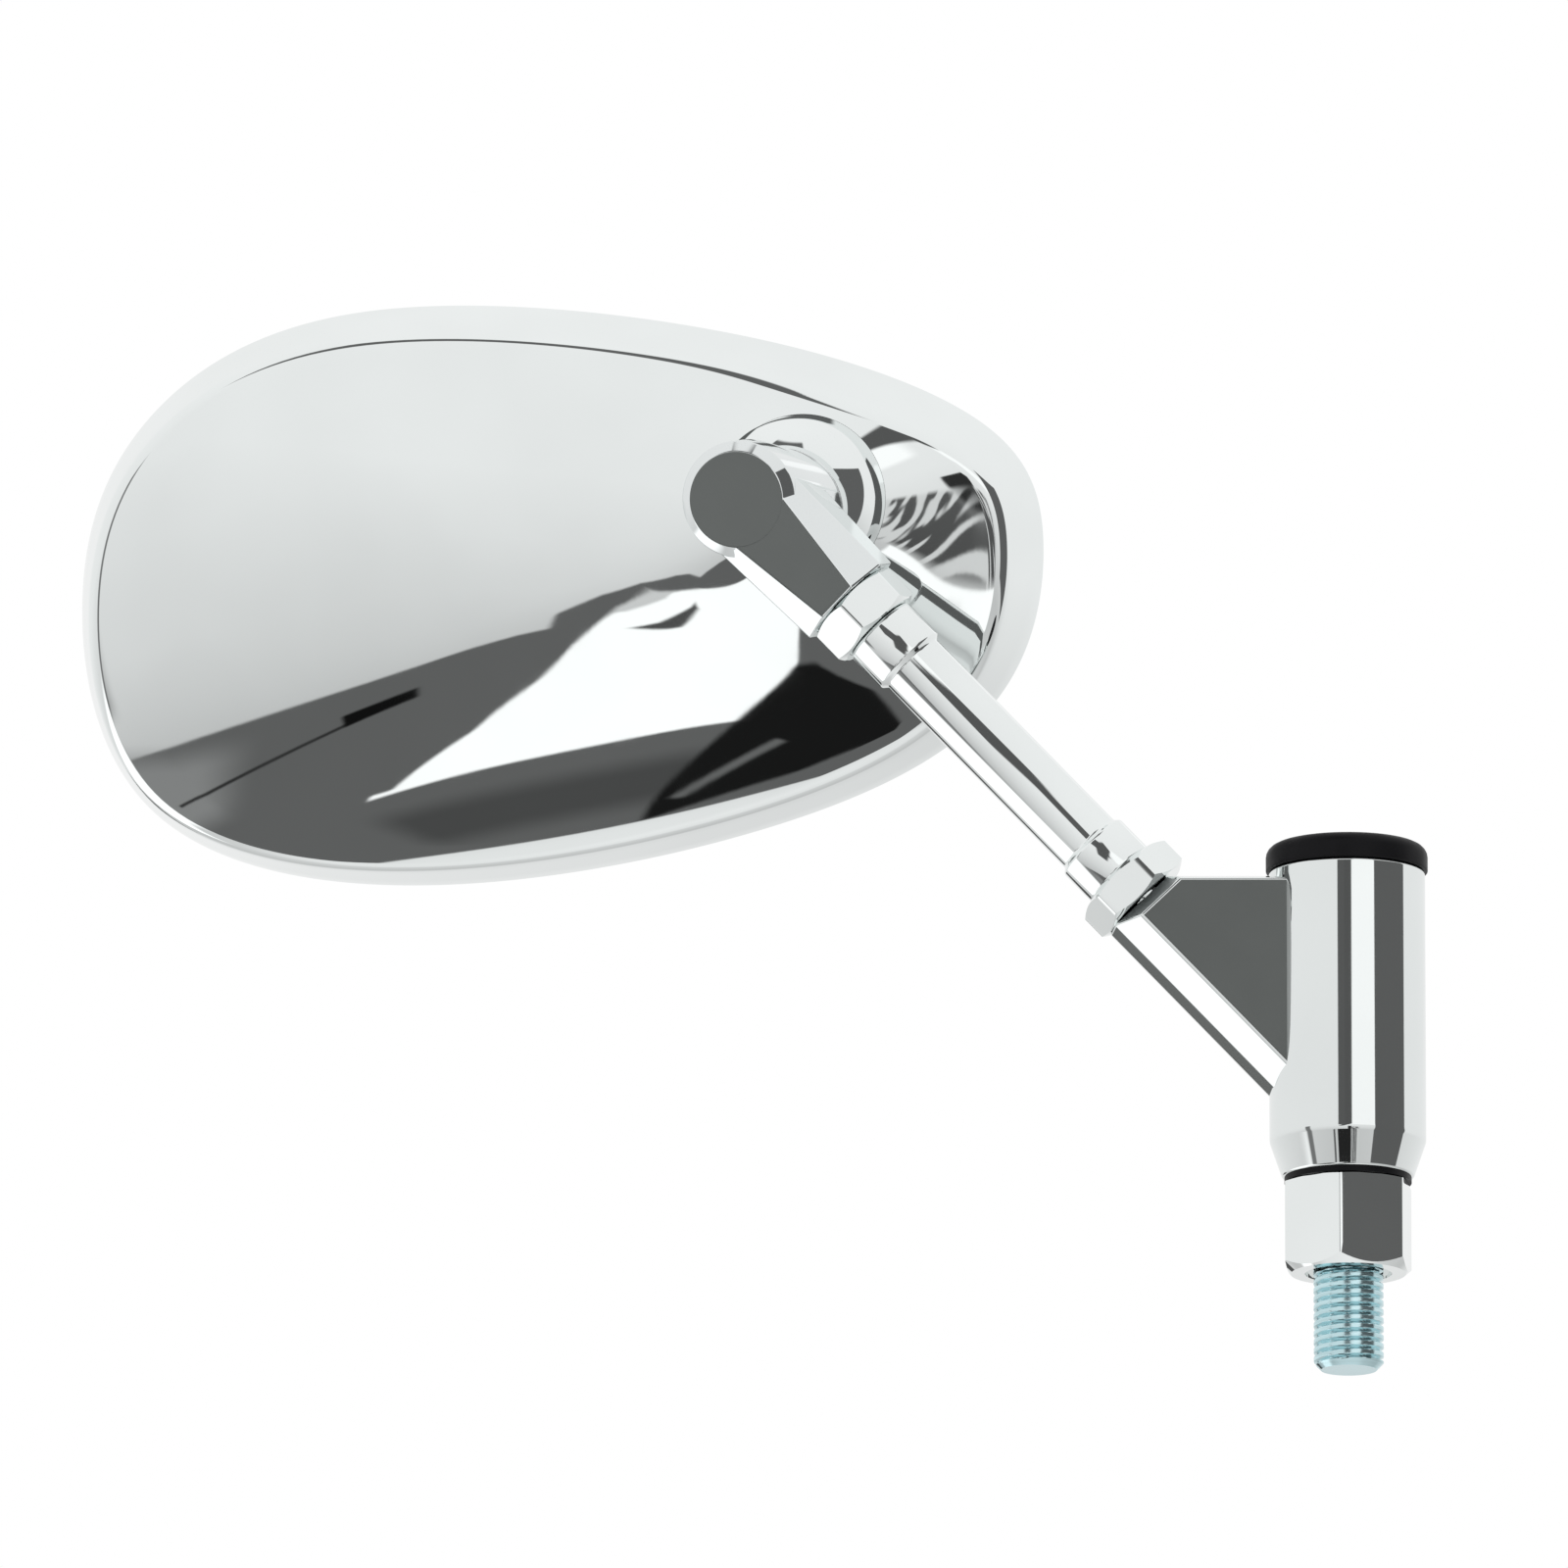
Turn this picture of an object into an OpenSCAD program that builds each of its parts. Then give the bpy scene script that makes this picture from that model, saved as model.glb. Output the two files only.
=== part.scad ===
// Motorcycle mirror: chrome head on a ball joint, threaded stem, spring-loaded swivel base on an M10 stud.
// Millimetres. The origin lies on the stud's axis, in the plane where the hex adapter seats on its boss.
// +Z runs up the stud, the stem leans towards -X, and the back of the head faces -Y.

/* [Mounting stud and hex adapter] */
// Diameter of the threaded stud
stud_d = 10; // [8:0.5:11]
// How far the stud stands out below the hex adapter
stud_drop = 14; // [10:1:30]
// Width across the flats of the hex adapter
hex_af = 17; // [16.5:0.5:19]
// Height of the hex adapter
hex_h = 13.2; // [8:0.2:18]
// Width of the recess round the stud in the seat of the hex
seat_recess_w = 1.2; // [1:0.1:1.6]
// Depth of that recess
seat_recess_h = 0.8; // [0.6:0.1:1.5]
// Turn of the hex flats about the stud
hex_turn = 21.6; // [0:0.1:59]
// Diameter of the spigot on which the base swivels
spigot_d = 14; // [13.5:0.5:14.5]
// Height of the spigot above the hex
spigot_h = 7; // [5:0.5:10]

/* [Swivel base] */
// Height of the cast body of the base
body_h = 44.6; // [42:0.2:60]
// Wall of the body round the spring chamber
body_wall = 2.4; // [1.6:0.1:4]
// Height of the taper at the foot of the body
foot_taper_h = 4.6; // [2:0.2:8]
// Wall left round the bush at the foot of the body
foot_wall = 1.4; // [1:0.1:1.8]
// Thickness of the floor under the spring
floor_t = 5; // [3:0.5:8]
// Wall of the swivel bush
bush_wall = 1; // [0.6:0.1:1.2]
// Thickness of the sliding washer under the body
slide_washer_t = 0.8; // [0.5:0.1:2]
// Thickness of the friction disc on the floor
friction_disc_t = 1.2; // [0.6:0.1:2]
// Thickness of the steel washers at the two ends of the spring
spring_washer_t = 1.4; // [0.8:0.1:2]
// Wire diameter of the tension spring
wire_d = 2.3; // [1.6:0.1:2.6]
// Pitch of the tension spring's open turns
spring_pitch = 2.64; // [2.62:0.02:3.6]
// Width across the flats of the lock nut
lock_nut_af = 14; // [13:0.5:14.5]
// Height of the lock nut
lock_nut_h = 8; // [5:0.5:9]
// Height of the black cap above the body
cap_h = 3.8; // [2.6:0.2:6]
// How far the cap stands out over the body's edge
cap_lip = 0.4; // [0:0.1:1]
// Depth of the cap's plug inside the body
plug_h = 3.6; // [2:0.2:4]
// Space between the end of the stud and the cap's plug
cap_space = 1.6; // [1:0.1:3]
// How far the stud stands out of the lock nut
stud_end = 1; // [0.5:0.1:2]

/* [Arm] */
// Thickness of the arm, and the width of its lower bar across the flats
arm_t = 14; // [13:0.2:16]
// Distance along the stem from the swivel axis to the arm's end face
arm_reach = 41.7; // [34:0.1:50]
// Height at which the stem's axis meets the swivel axis
stem_root_z = 24.3; // [22:0.1:27]
// Angle between the stem and the swivel axis
stem_lean = 43.7; // [35:0.1:55]
// Drop from the body's top to the arm's top edge
web_top_drop = 1; // [0.5:0.1:4]
// Width of the bevel along the arm's front and back
arm_bevel = 3.2; // [1:0.1:4]
// Draft of the arm's side, from its bevel to the parting line
arm_draft = 0.9; // [0:0.1:1.5]

/* [Stem] */
// Distance along the stem from the swivel axis to the elbow
stem_reach = 123.7; // [112:0.1:160]
// Diameter of the stem
stem_d = 9.8; // [9:0.1:11]
// Diameter of the swollen ends of the stem
ferrule_d = 11.2; // [11:0.1:12.5]
// Length of the lower swollen end
lower_ferrule_h = 6.5; // [3:0.5:12]
// Length of the upper swollen end
upper_ferrule_h = 7; // [3:0.5:12]
// Thread diameter of the stem's two ends
stem_thread_d = 8; // [6:0.5:8]
// Thread length beyond each lock nut
stem_thread_h = 11; // [8:0.5:12]
// Width across the flats of the lower hex ring
lower_nut_af = 14; // [13:0.1:15]
// Thickness of the lower hex ring
lower_nut_h = 5; // [3:0.2:7]
// Width across the flats of the upper hex ring
upper_nut_af = 13; // [12:0.1:14.5]
// Thickness of the upper hex ring
upper_nut_h = 5.8; // [3:0.2:7]
// Turn of the stem and elbow about the stem's axis
stem_twist = 21.5; // [0:0.5:35]

/* [Elbow] */
// Width of the elbow's lower end across its flats
elbow_af = 15; // [14:0.1:16]
// Length of the elbow from its lower end to the middle of its round end
elbow_len = 21; // [20:0.1:26]
// Radius of the round end
elbow_boss_r = 8.4; // [8:0.1:9]
// Bevel round the front of the round end
elbow_bevel = 1.5; // [0.6:0.1:2]
// Width of the front flat where the bar runs into the round end
elbow_flat_w = 10.4; // [7:0.1:11]
// Radius of the foot that faces the head
elbow_foot_r = 9.2; // [8.8:0.1:9.4]
// Lean of the foot's axis away from a square elbow
elbow_lean = 5.5; // [0:0.5:8]
// How far the foot's axis lies below the middle of the round end, along the stem
elbow_foot_shift = 4; // [2:0.1:5]

/* [Ball joint] */
// Radius of the ball
ball_r = 6.5; // [6:0.1:6.8]
// Radius of the neck behind the ball
neck_r = 3.2; // [2.6:0.1:3.2]
// Distance from the stem's axis to the ball's centre
ball_drop = 22; // [21.5:0.5:25]
// Outer radius of the domed pivot boss on the head
dome_r = 13; // [12.9:0.1:13.5]
// Wall of the dome
dome_wall = 2.2; // [1.6:0.1:2.4]
// Radius of the opening in the dome
dome_mouth_r = 8.3; // [8.2:0.05:8.35]
// Thickness of the rear ball seat
rear_seat_t = 2.25; // [1.5:0.05:2.4]
// Thickness of the pressure ring behind the rear seat
pressure_ring_t = 1.6; // [1.2:0.1:1.7]
// Height of the disc spring
disc_spring_h = 1; // [0.8:0.1:1.2]
// Thickness of the retaining ring
ring_t = 1; // [0.8:0.1:1.2]
// Depth of the retaining ring's groove
ring_groove = 0.7; // [0.5:0.1:0.8]

/* [Head] */
// Width of the head
head_w = 143.6; // [130:0.2:170]
// Height of the head
head_h = 84.4; // [76:0.2:100]
// Distance from the ball to the head's middle, along its width
head_off_x = 39.7; // [34:0.1:46]
// Distance from the ball to the head's middle, along its height
head_off_y = 12.9; // [8:0.1:15]
// Depth from the ball's centre to the rim round the glass
rim_depth = 17; // [17:0.2:22]
// Depth from the ball's centre to the crease round the back panel
crease_depth = 6; // [5:0.2:6.6]
// How far the side wall flares out from the crease to the rim
flare = 3.6; // [2:0.1:5]
// Rise of the domed back panel above its crease
panel_rise = 8; // [7:0.2:9]
// Height of the soft swelling round the pivot boss
swell_h = 3; // [1.5:0.1:3.4]
// Wall of the housing
shell_wall = 1.8; // [1.2:0.1:2.2]
// Turn of the head about the boss that levels it
head_level = 42.6; // [35:0.1:50]

/* [Glass] */
// Radius of the convex mirror surface
glass_radius = 1200; // [900:50:2000]
// Thickness of the mirror glass
glass_t = 2.4; // [1.8:0.1:2.6]
// Thickness of the foam tape behind the glass
foam_t = 0.8; // [0.5:0.1:0.9]
// Thickness of the carrier plate
carrier_t = 1.2; // [1:0.1:1.3]
// Narrowest thickness of the rubber gasket round the glass
gasket_t = 0.9; // [0.6:0.1:1.5]
// Width of the gasket's lip over the glass
lip_w = 1.2; // [0.6:0.1:2]

/* [Hidden] */
$fn = 64;
eps = 0.01;

// Clearances
run_gap = 0.04;
thread_gap = 0.05;
loose_gap = 0.3;
seat_gap = 0.02;

// Levels of the base, from the hex up
body_z = hex_h + slide_washer_t;
body_top = body_z + body_h;
bush_d = spigot_d + 2 * bush_wall;
foot_d = bush_d + 2 * foot_wall;
bush_top = hex_h + spigot_h + seat_gap * 10;
floor_top = bush_top + floor_t;
disc_top = floor_top + friction_disc_t;
spring_z = disc_top + spring_washer_t;
stud_top = body_top - plug_h - cap_space;
nut_z = stud_top - stud_end - lock_nut_h;
spring_top = nut_z - spring_washer_t;
spring_h = spring_top - spring_z;
coil_rise = spring_h - wire_d - 2 * seat_gap;
open_turns = max(0, floor((coil_rise - 2.04 * wire_d) / spring_pitch));
end_turn = open_turns > 0 ? wire_d * 1.02 : coil_rise / 2;
spring_turns = 2 + open_turns;
spring_d = stud_d + wire_d + 1.6;
chamber_d = spring_d + wire_d + 1.4;
body_d = chamber_d + 2 * body_wall;
web_top = body_top - web_top_drop;

// Levels along the stem, from the swivel axis up
lower_nut_z = arm_reach;
lower_ferrule_z = lower_nut_z + lower_nut_h;
shaft_z = lower_ferrule_z + lower_ferrule_h;
elbow_z = stem_reach - elbow_len;
boss_reach = stem_reach - elbow_foot_shift;
shank_r = neck_r + 0.8;
upper_thread_h = min(stem_thread_h, boss_reach - elbow_z - shank_r - 2);
upper_nut_z = elbow_z - upper_nut_h;
upper_ferrule_z = upper_nut_z - upper_ferrule_h;

// Ball joint, radii from the ball's centre
dome_inner_r = dome_r - dome_wall;
cup_r = dome_r + 0.4;
rear_seat_r = ball_r + run_gap + rear_seat_t;
boss_tube_r = dome_r * 0.946;
ring_top = -(rear_seat_r * 0.76);
spring_top_z = ring_top - pressure_ring_t;
clip_top = spring_top_z - disc_spring_h;
boss_end = clip_top - ring_t - 0.6;
flange_w = 1.5;
flange_t = 1.4;
seat_edge_angle = 78;
seat_mouth_angle = 34;

// The head's outline: a closed curve through a few control points, in halves of its width and height
OUTLINE_SIDES = 48;
head_shape = [[1.03, 0.12], [0.96, 0.53], [0.42, 0.90], [-0.44, 1.10], [-0.87, 0.71],
              [-1.03, 0.12], [-0.97, -0.80], [-0.37, -1.07], [0.40, -0.90], [0.93, -0.55]];
stack_t = glass_t + foam_t + carrier_t;
stack_taper = flare * stack_t / (rim_depth - crease_depth - shell_wall);
stack_inset = shell_wall + stack_taper + gasket_t;

function spline_weights(f) = [pow(1 - f, 3), 3 * pow(f, 3) - 6 * pow(f, 2) + 4,
                              -3 * pow(f, 3) + 3 * pow(f, 2) + 3 * f + 1, pow(f, 3)] / 6;
function closed_spline(shape, t) =
    let (n = len(shape), k = floor(t), w = spline_weights(t - k))
    w[0] * shape[(k + n - 1) % n] + w[1] * shape[k % n] +
    w[2] * shape[(k + 1) % n] + w[3] * shape[(k + 2) % n];
function head_point(i) =
    let (p = closed_spline(head_shape, i * len(head_shape) / OUTLINE_SIDES))
    [p[0] * head_w / 2, p[1] * head_h / 2];
function inward(i) =
    let (d = head_point((i + 1) % OUTLINE_SIDES) - head_point((i + OUTLINE_SIDES - 1) % OUTLINE_SIDES))
    [-d[1], d[0]] / norm(d);
// The outline moved in by inset, then drawn in towards the head's middle by the factor q, seen from the ball
function outline(inset, q = 1) =
    [for (i = [0:OUTLINE_SIDES - 1]) (head_point(i) + inset * inward(i)) * q - [head_off_x, head_off_y]];

// Depth of the back panel where the outline is drawn in by q, with the swelling round the boss
function panel_z(p, q) =
    -crease_depth + panel_rise * (1 - q * q) + swell_h * exp(-(p * p) / pow(dome_r, 2));
function panel_ring(inset, q, lower) = [for (p = outline(inset, q)) [p[0], p[1], panel_z(p, q) - lower]];
function flat_ring(inset, z) = [for (p = outline(inset)) [p[0], p[1], z]];

// A closed solid through a stack of rings, capped at both ends
module loft(rings) {
    n = len(rings[0]);
    last = len(rings) - 1;
    polyhedron(
        points = [for (ring = rings) each ring],
        faces = concat(
            [[for (i = [n - 1:-1:0]) i]],
            [for (k = [0:last - 1], i = [0:n - 1])
                let (j = (i + 1) % n) [k * n + i, k * n + j, (k + 1) * n + j, (k + 1) * n + i]],
            [[for (i = [0:n - 1]) last * n + i]]),
        convexity = 8);
}

module tube(outer_d, inner_d, h) {
    difference() {
        cylinder(d = outer_d, h = h);
        translate([0, 0, -1]) cylinder(d = inner_d, h = h + 2);
    }
}

// A hexagon nut with both ends turned to a shallow cone
module hex_nut(af, h, bore_d) {
    corner_d = af / cos(30);
    edge = (corner_d - af) / 2;
    difference() {
        intersection() {
            cylinder(d = corner_d, h = h, $fn = 6);
            rotate_extrude() polygon([[0, 0], [af / 2, 0], [af / 2 + edge, edge * 0.6],
                                      [af / 2 + edge, h - edge * 0.6], [af / 2, h], [0, h]]);
        }
        translate([0, 0, -1]) cylinder(d = bore_d, h = h + 2);
    }
}

module pivot_stud() {
    r = stud_d / 2;
    color([0.55, 0.72, 0.78])
    rotate_extrude() polygon([
        [0, -stud_drop], [r - 1, -stud_drop], [r, -stud_drop + 1], [r, 0.3], [r - 0.6, 0.9], [r - 0.6, 2.1],
        [r - seat_gap, 2.7], [r - seat_gap, stud_top - 1], [r - 1, stud_top], [0, stud_top]]);
}

module hex_adapter() {
    corner_r = hex_af / 2 / cos(30);
    color([0.85, 0.87, 0.88])
    difference() {
        union() {
            intersection() {
                rotate([0, 0, hex_turn]) cylinder(r = corner_r, h = hex_h, $fn = 6);
                rotate_extrude() polygon([[0, 0], [hex_af / 2 - 0.2, 0], [corner_r, 1.1],
                                          [corner_r, hex_h], [0, hex_h]]);
            }
            translate([0, 0, hex_h - eps]) cylinder(d = spigot_d, h = spigot_h + eps);
        }
        translate([0, 0, -1]) cylinder(d = stud_d + 2 * thread_gap, h = hex_h + spigot_h + 2);
        translate([0, 0, -1]) cylinder(r = stud_d / 2 + seat_recess_w, h = 1 + seat_recess_h);
    }
}

module lower_spring_washer() {
    color([0.7, 0.7, 0.72])
    translate([0, 0, disc_top]) tube(chamber_d - 2 * loose_gap, stud_d + 2 * thread_gap, spring_washer_t);
}

module upper_spring_washer() {
    color([0.7, 0.7, 0.72])
    translate([0, 0, spring_top]) tube(chamber_d - 2 * loose_gap, stud_d + 2 * thread_gap, spring_washer_t);
}

// Height of the wire's middle after t turns: one closed turn at each end, and the open turns between
function coil_z(t) =
    t < 1 ? end_turn * t * t :
    t > spring_turns - 1 ? coil_rise - end_turn * pow(spring_turns - t, 2) :
    end_turn + (coil_rise - 2 * end_turn) * (t - 1) / max(1, open_turns);

module tension_spring() {
    steps = 20;
    sides = 8;
    rings = [for (k = [0:spring_turns * steps])
        let (a = k * 360 / steps, z = spring_z + seat_gap + wire_d / 2 + coil_z(k / steps))
        [for (j = [0:sides - 1])
            let (b = (j + 0.5) * 360 / sides, r = spring_d / 2 + wire_d / 2 * cos(b))
            [r * cos(a), r * sin(a), z + wire_d / 2 * sin(b)]]];
    color([0.45, 0.46, 0.48]) loft([for (k = [len(rings) - 1:-1:0]) rings[k]]);
}

module lock_nut() {
    color([0.78, 0.78, 0.76])
    translate([0, 0, nut_z]) hex_nut(lock_nut_af, lock_nut_h, stud_d + 2 * thread_gap);
}

// The arm's side outline in the X-Z plane, drawn in from its lower edge, its end face and its top
function arm_outline(low_in, end_in, top_in) =
    let (half = arm_t / 2 - low_in, reach = arm_reach - end_in, top = web_top - top_in,
         along = [-sin(stem_lean), cos(stem_lean)], across = [cos(stem_lean), sin(stem_lean)],
         root = [0, stem_root_z], up = (top - stem_root_z - reach * cos(stem_lean)) / sin(stem_lean))
    [root - half * across, root + reach * along - half * across,
     root + reach * along + up * across, [0, top]];

module arm_slab(t, low_in, end_in, top_in) {
    rotate([90, 0, 0]) linear_extrude(height = t, center = true) polygon(arm_outline(low_in, end_in, top_in));
}

module along_stem() {
    translate([0, 0, stem_root_z]) rotate([0, -stem_lean, 0]) rotate([0, 0, -stem_twist]) children();
}

module arm_casting() {
    edge = 0.6;
    color([0.80, 0.82, 0.83])
    difference() {
        union() {
            rotate_extrude() polygon([
                [0, body_z], [foot_d / 2 - edge, body_z], [foot_d / 2, body_z + edge],
                [body_d / 2 - edge, body_z + foot_taper_h], [body_d / 2, body_z + foot_taper_h + 2 * edge],
                [body_d / 2, body_top - edge / 2], [body_d / 2 - edge / 2, body_top], [0, body_top]]);
            hull() {
                arm_slab(arm_t, arm_bevel + arm_draft, 2, 1.2);
                arm_slab(arm_t - 2 * arm_bevel, arm_draft, 0, 0.3);
                arm_slab(0.8, 0, 0, 0);
            }
        }
        translate([0, 0, floor_top]) cylinder(d = chamber_d, h = body_h);
        translate([0, 0, body_z - 1]) cylinder(d = bush_d, h = bush_top - body_z + 1);
        cylinder(d = stud_d + 2 * loose_gap, h = body_top);
        along_stem() translate([0, 0, arm_reach - stem_thread_h - 1])
            cylinder(d = stem_thread_d + 2 * thread_gap, h = stem_thread_h + 10);
    }
}

module swivel_bush() {
    color([0.72, 0.58, 0.36])
    translate([0, 0, body_z]) tube(bush_d, spigot_d + 2 * run_gap, bush_top - body_z);
}

module sliding_washer() {
    color([0.1, 0.1, 0.1])
    translate([0, 0, hex_h]) tube(foot_d - 2 * loose_gap, spigot_d + 2 * run_gap, slide_washer_t);
}

module friction_disc() {
    color([0.35, 0.28, 0.22])
    translate([0, 0, floor_top]) tube(chamber_d - 2 * loose_gap, stud_d + 2 * loose_gap, friction_disc_t);
}

module end_cap() {
    r = body_d / 2 + cap_lip;
    corner = 2.4;
    color([0.06, 0.06, 0.06])
    translate([0, 0, body_top]) {
        rotate_extrude() difference() {
            union() {
                polygon([[0, 0], [r, 0], [r, cap_h - corner], [0, cap_h - corner]]);
                translate([0, cap_h - corner - eps]) square([r - corner, corner + eps]);
                intersection() {
                    translate([r - corner, cap_h - corner]) circle(r = corner);
                    translate([r - corner, cap_h - corner - eps]) square([corner, corner + eps]);
                }
                translate([0, -plug_h]) square([chamber_d / 2 - seat_gap, plug_h + eps]);
            }
            translate([0, -plug_h - eps]) square([chamber_d / 2 - 1.6, plug_h]);
        }
    }
}

module stem() {
    edge = 0.5;
    r = stem_d / 2;
    f = ferrule_d / 2;
    t = stem_thread_d / 2;
    color([0.82, 0.84, 0.85])
    along_stem() rotate_extrude() polygon([
        [0, arm_reach - stem_thread_h], [t - 0.8, arm_reach - stem_thread_h],
        [t, arm_reach - stem_thread_h + 0.8], [t, lower_ferrule_z],
        [f - edge, lower_ferrule_z], [f, lower_ferrule_z + edge], [f, shaft_z - edge], [r, shaft_z],
        [r, upper_ferrule_z], [f, upper_ferrule_z + edge], [f, upper_nut_z - edge], [f - edge, upper_nut_z],
        [t, upper_nut_z], [t, elbow_z + upper_thread_h - 0.8], [t - 0.8, elbow_z + upper_thread_h],
        [0, elbow_z + upper_thread_h]]);
}

module lower_ring_nut() {
    color([0.74, 0.76, 0.76])
    along_stem() translate([0, 0, lower_nut_z]) rotate([0, 0, 10])
        hex_nut(lower_nut_af, lower_nut_h, stem_thread_d + 2 * thread_gap);
}

module upper_ring_nut() {
    color([0.74, 0.76, 0.76])
    along_stem() translate([0, 0, upper_nut_z]) rotate([0, 0, 30])
        hex_nut(upper_nut_af, upper_nut_h, stem_thread_d + 2 * thread_gap);
}

// Z points away from the head along the foot's axis, and the ball lies ball_drop below
module at_elbow() {
    along_stem() translate([0, 0, boss_reach]) rotate([90 + elbow_lean, 0, 0]) children();
}

// The bar's bevelled section where it runs into the round end
function elbow_section(half_w, half_t, bevel) = [
    [half_w - bevel, half_t], [half_w, half_t - bevel],
    [half_w, bevel - half_t], [half_w - bevel, -half_t],
    [bevel - half_w, -half_t], [-half_w, bevel - half_t],
    [-half_w, half_t - bevel], [bevel - half_w, half_t]];

module elbow_casting() {
    front = elbow_af / 2;
    bevel = elbow_flat_w / 4;
    bead = 0.2;
    mouth = ball_drop - cup_r;
    rim = sqrt(pow(cup_r, 2) - pow(elbow_foot_r - 0.6, 2)) - ball_drop;
    color([0.62, 0.64, 0.65])
    difference() {
        union() {
            along_stem() hull() {
                translate([0, 0, elbow_z]) rotate([0, 0, 22.5])
                    cylinder(d = elbow_af / cos(22.5), h = 1, $fn = 8);
                translate([0, 0, stem_reach - elbow_boss_r * 0.36]) linear_extrude(height = 1)
                    polygon(elbow_section(elbow_flat_w / 2 + bevel, front - 2 * seat_gap, bevel));
            }
            hull($fn = 40) {
                along_stem() translate([0, 0, stem_reach]) rotate([90, 0, 0]) {
                    translate([0, 0, front - 0.2]) cylinder(r = elbow_boss_r - elbow_bevel, h = 0.2);
                    cylinder(r = elbow_boss_r, h = front - elbow_bevel);
                }
                at_elbow() translate([0, 0, -mouth]) cylinder(r = elbow_foot_r - bead, h = 1);
            }
            at_elbow() translate([0, 0, rim]) cylinder(r = elbow_foot_r, h = 0.4 - mouth - rim);
        }
        at_elbow() translate([0, 0, -ball_drop]) sphere(r = cup_r, $fn = 96);
        at_elbow() translate([0, 0, -mouth - 4]) cylinder(r = shank_r, h = mouth + 2);
        along_stem() translate([0, 0, elbow_z - 1])
            cylinder(d = stem_thread_d + 2 * thread_gap, h = upper_thread_h + 1 + seat_gap);
    }
}

module ball_stud() {
    mouth = ball_drop - cup_r;
    color([0.75, 0.76, 0.78])
    at_elbow() {
        translate([0, 0, -ball_drop]) sphere(r = ball_r, $fn = 96);
        translate([0, 0, -ball_drop]) cylinder(r = neck_r, h = ball_drop - mouth + 3);
        translate([0, 0, -mouth - 0.4]) cylinder(r = shank_r - seat_gap, h = mouth - 1.7);
    }
}

// Z points out of the head's back along the pivot boss, from the ball's centre
module at_ball() {
    at_elbow() translate([0, 0, -ball_drop]) rotate([0, 0, -head_level]) children();
}

// A zone of a hollow sphere between two angles from the Z axis
module ball_zone(inner_r, outer_r, from_angle, to_angle) {
    steps = 12;
    angles = [for (k = [0:steps]) from_angle + (to_angle - from_angle) * k / steps];
    far = outer_r * 3;
    difference() {
        sphere(r = outer_r, $fn = 96);
        sphere(r = inner_r, $fn = 96);
        rotate_extrude() polygon(concat([[0, 0]], [[far * sin(to_angle), far * cos(to_angle)],
            [far, far * cos(to_angle) - eps], [far, -far], [0, -far]]));
        if (from_angle > 0)
            rotate_extrude() polygon([[0, 0], [far * sin(from_angle), far * cos(from_angle)], [0, far]]);
    }
}

module front_ball_seat() {
    color([0.9, 0.88, 0.8])
    at_ball() ball_zone(ball_r + run_gap, dome_inner_r - run_gap, seat_mouth_angle, seat_edge_angle);
}

module rear_ball_seat() {
    color([0.9, 0.88, 0.8])
    at_ball() mirror([0, 0, 1]) ball_zone(ball_r + run_gap, rear_seat_r, 0, seat_edge_angle);
}

module pivot_boss() {
    mouth_z = sqrt(pow(dome_r, 2) - pow(dome_mouth_r, 2));
    color([0.78, 0.80, 0.81])
    at_ball() difference() {
        union() {
            intersection() {
                sphere(r = dome_r, $fn = 96);
                translate([0, 0, boss_end]) cylinder(r = boss_tube_r, h = mouth_z - boss_end);
            }
            translate([0, 0, boss_end]) cylinder(r = boss_tube_r, h = -boss_end);
            translate([0, 0, boss_end]) cylinder(r = boss_tube_r + flange_w, h = flange_t);
        }
        sphere(r = dome_inner_r, $fn = 96);
        translate([0, 0, boss_end - 1]) cylinder(r = dome_inner_r, h = 1 - boss_end);
        cylinder(r = dome_mouth_r, h = dome_r + 1);
        translate([0, 0, clip_top - ring_t - seat_gap])
            cylinder(r = dome_inner_r + ring_groove, h = ring_t + 2 * seat_gap);
    }
}

module pressure_ring() {
    color([0.66, 0.66, 0.68])
    at_ball() difference() {
        translate([0, 0, spring_top_z]) cylinder(r = dome_inner_r - seat_gap, h = pressure_ring_t);
        sphere(r = rear_seat_r + run_gap, $fn = 96);
    }
}

module disc_spring() {
    t = disc_spring_h * 0.6;
    inner = dome_inner_r * 0.5;
    outer = dome_inner_r - loose_gap;
    color([0.45, 0.46, 0.48])
    at_ball() rotate_extrude() polygon([
        [outer, clip_top + seat_gap], [outer, clip_top + seat_gap + t],
        [inner, spring_top_z - seat_gap], [inner, spring_top_z - seat_gap - t]]);
}

// An internal snap ring, open on one side, with a hole in each of its two lugs
module retaining_ring() {
    r = dome_inner_r + ring_groove - seat_gap;
    band = 2;
    lug = 1.7;
    lug_angle = 14;
    color([0.25, 0.25, 0.26])
    at_ball() translate([0, 0, clip_top - ring_t]) difference() {
        union() {
            tube(2 * r, 2 * (r - band), ring_t);
            for (side = [-1, 1]) rotate([0, 0, side * lug_angle]) translate([r - band - lug / 2, 0, 0])
                cylinder(r = lug, h = ring_t);
        }
        translate([0, -1, -1]) cube([r + 1, 2, ring_t + 2]);
        for (side = [-1, 1]) rotate([0, 0, side * lug_angle]) translate([r - band - lug / 2, 0, -1])
            cylinder(r = 0.7, h = ring_t + 2);
    }
}

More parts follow.
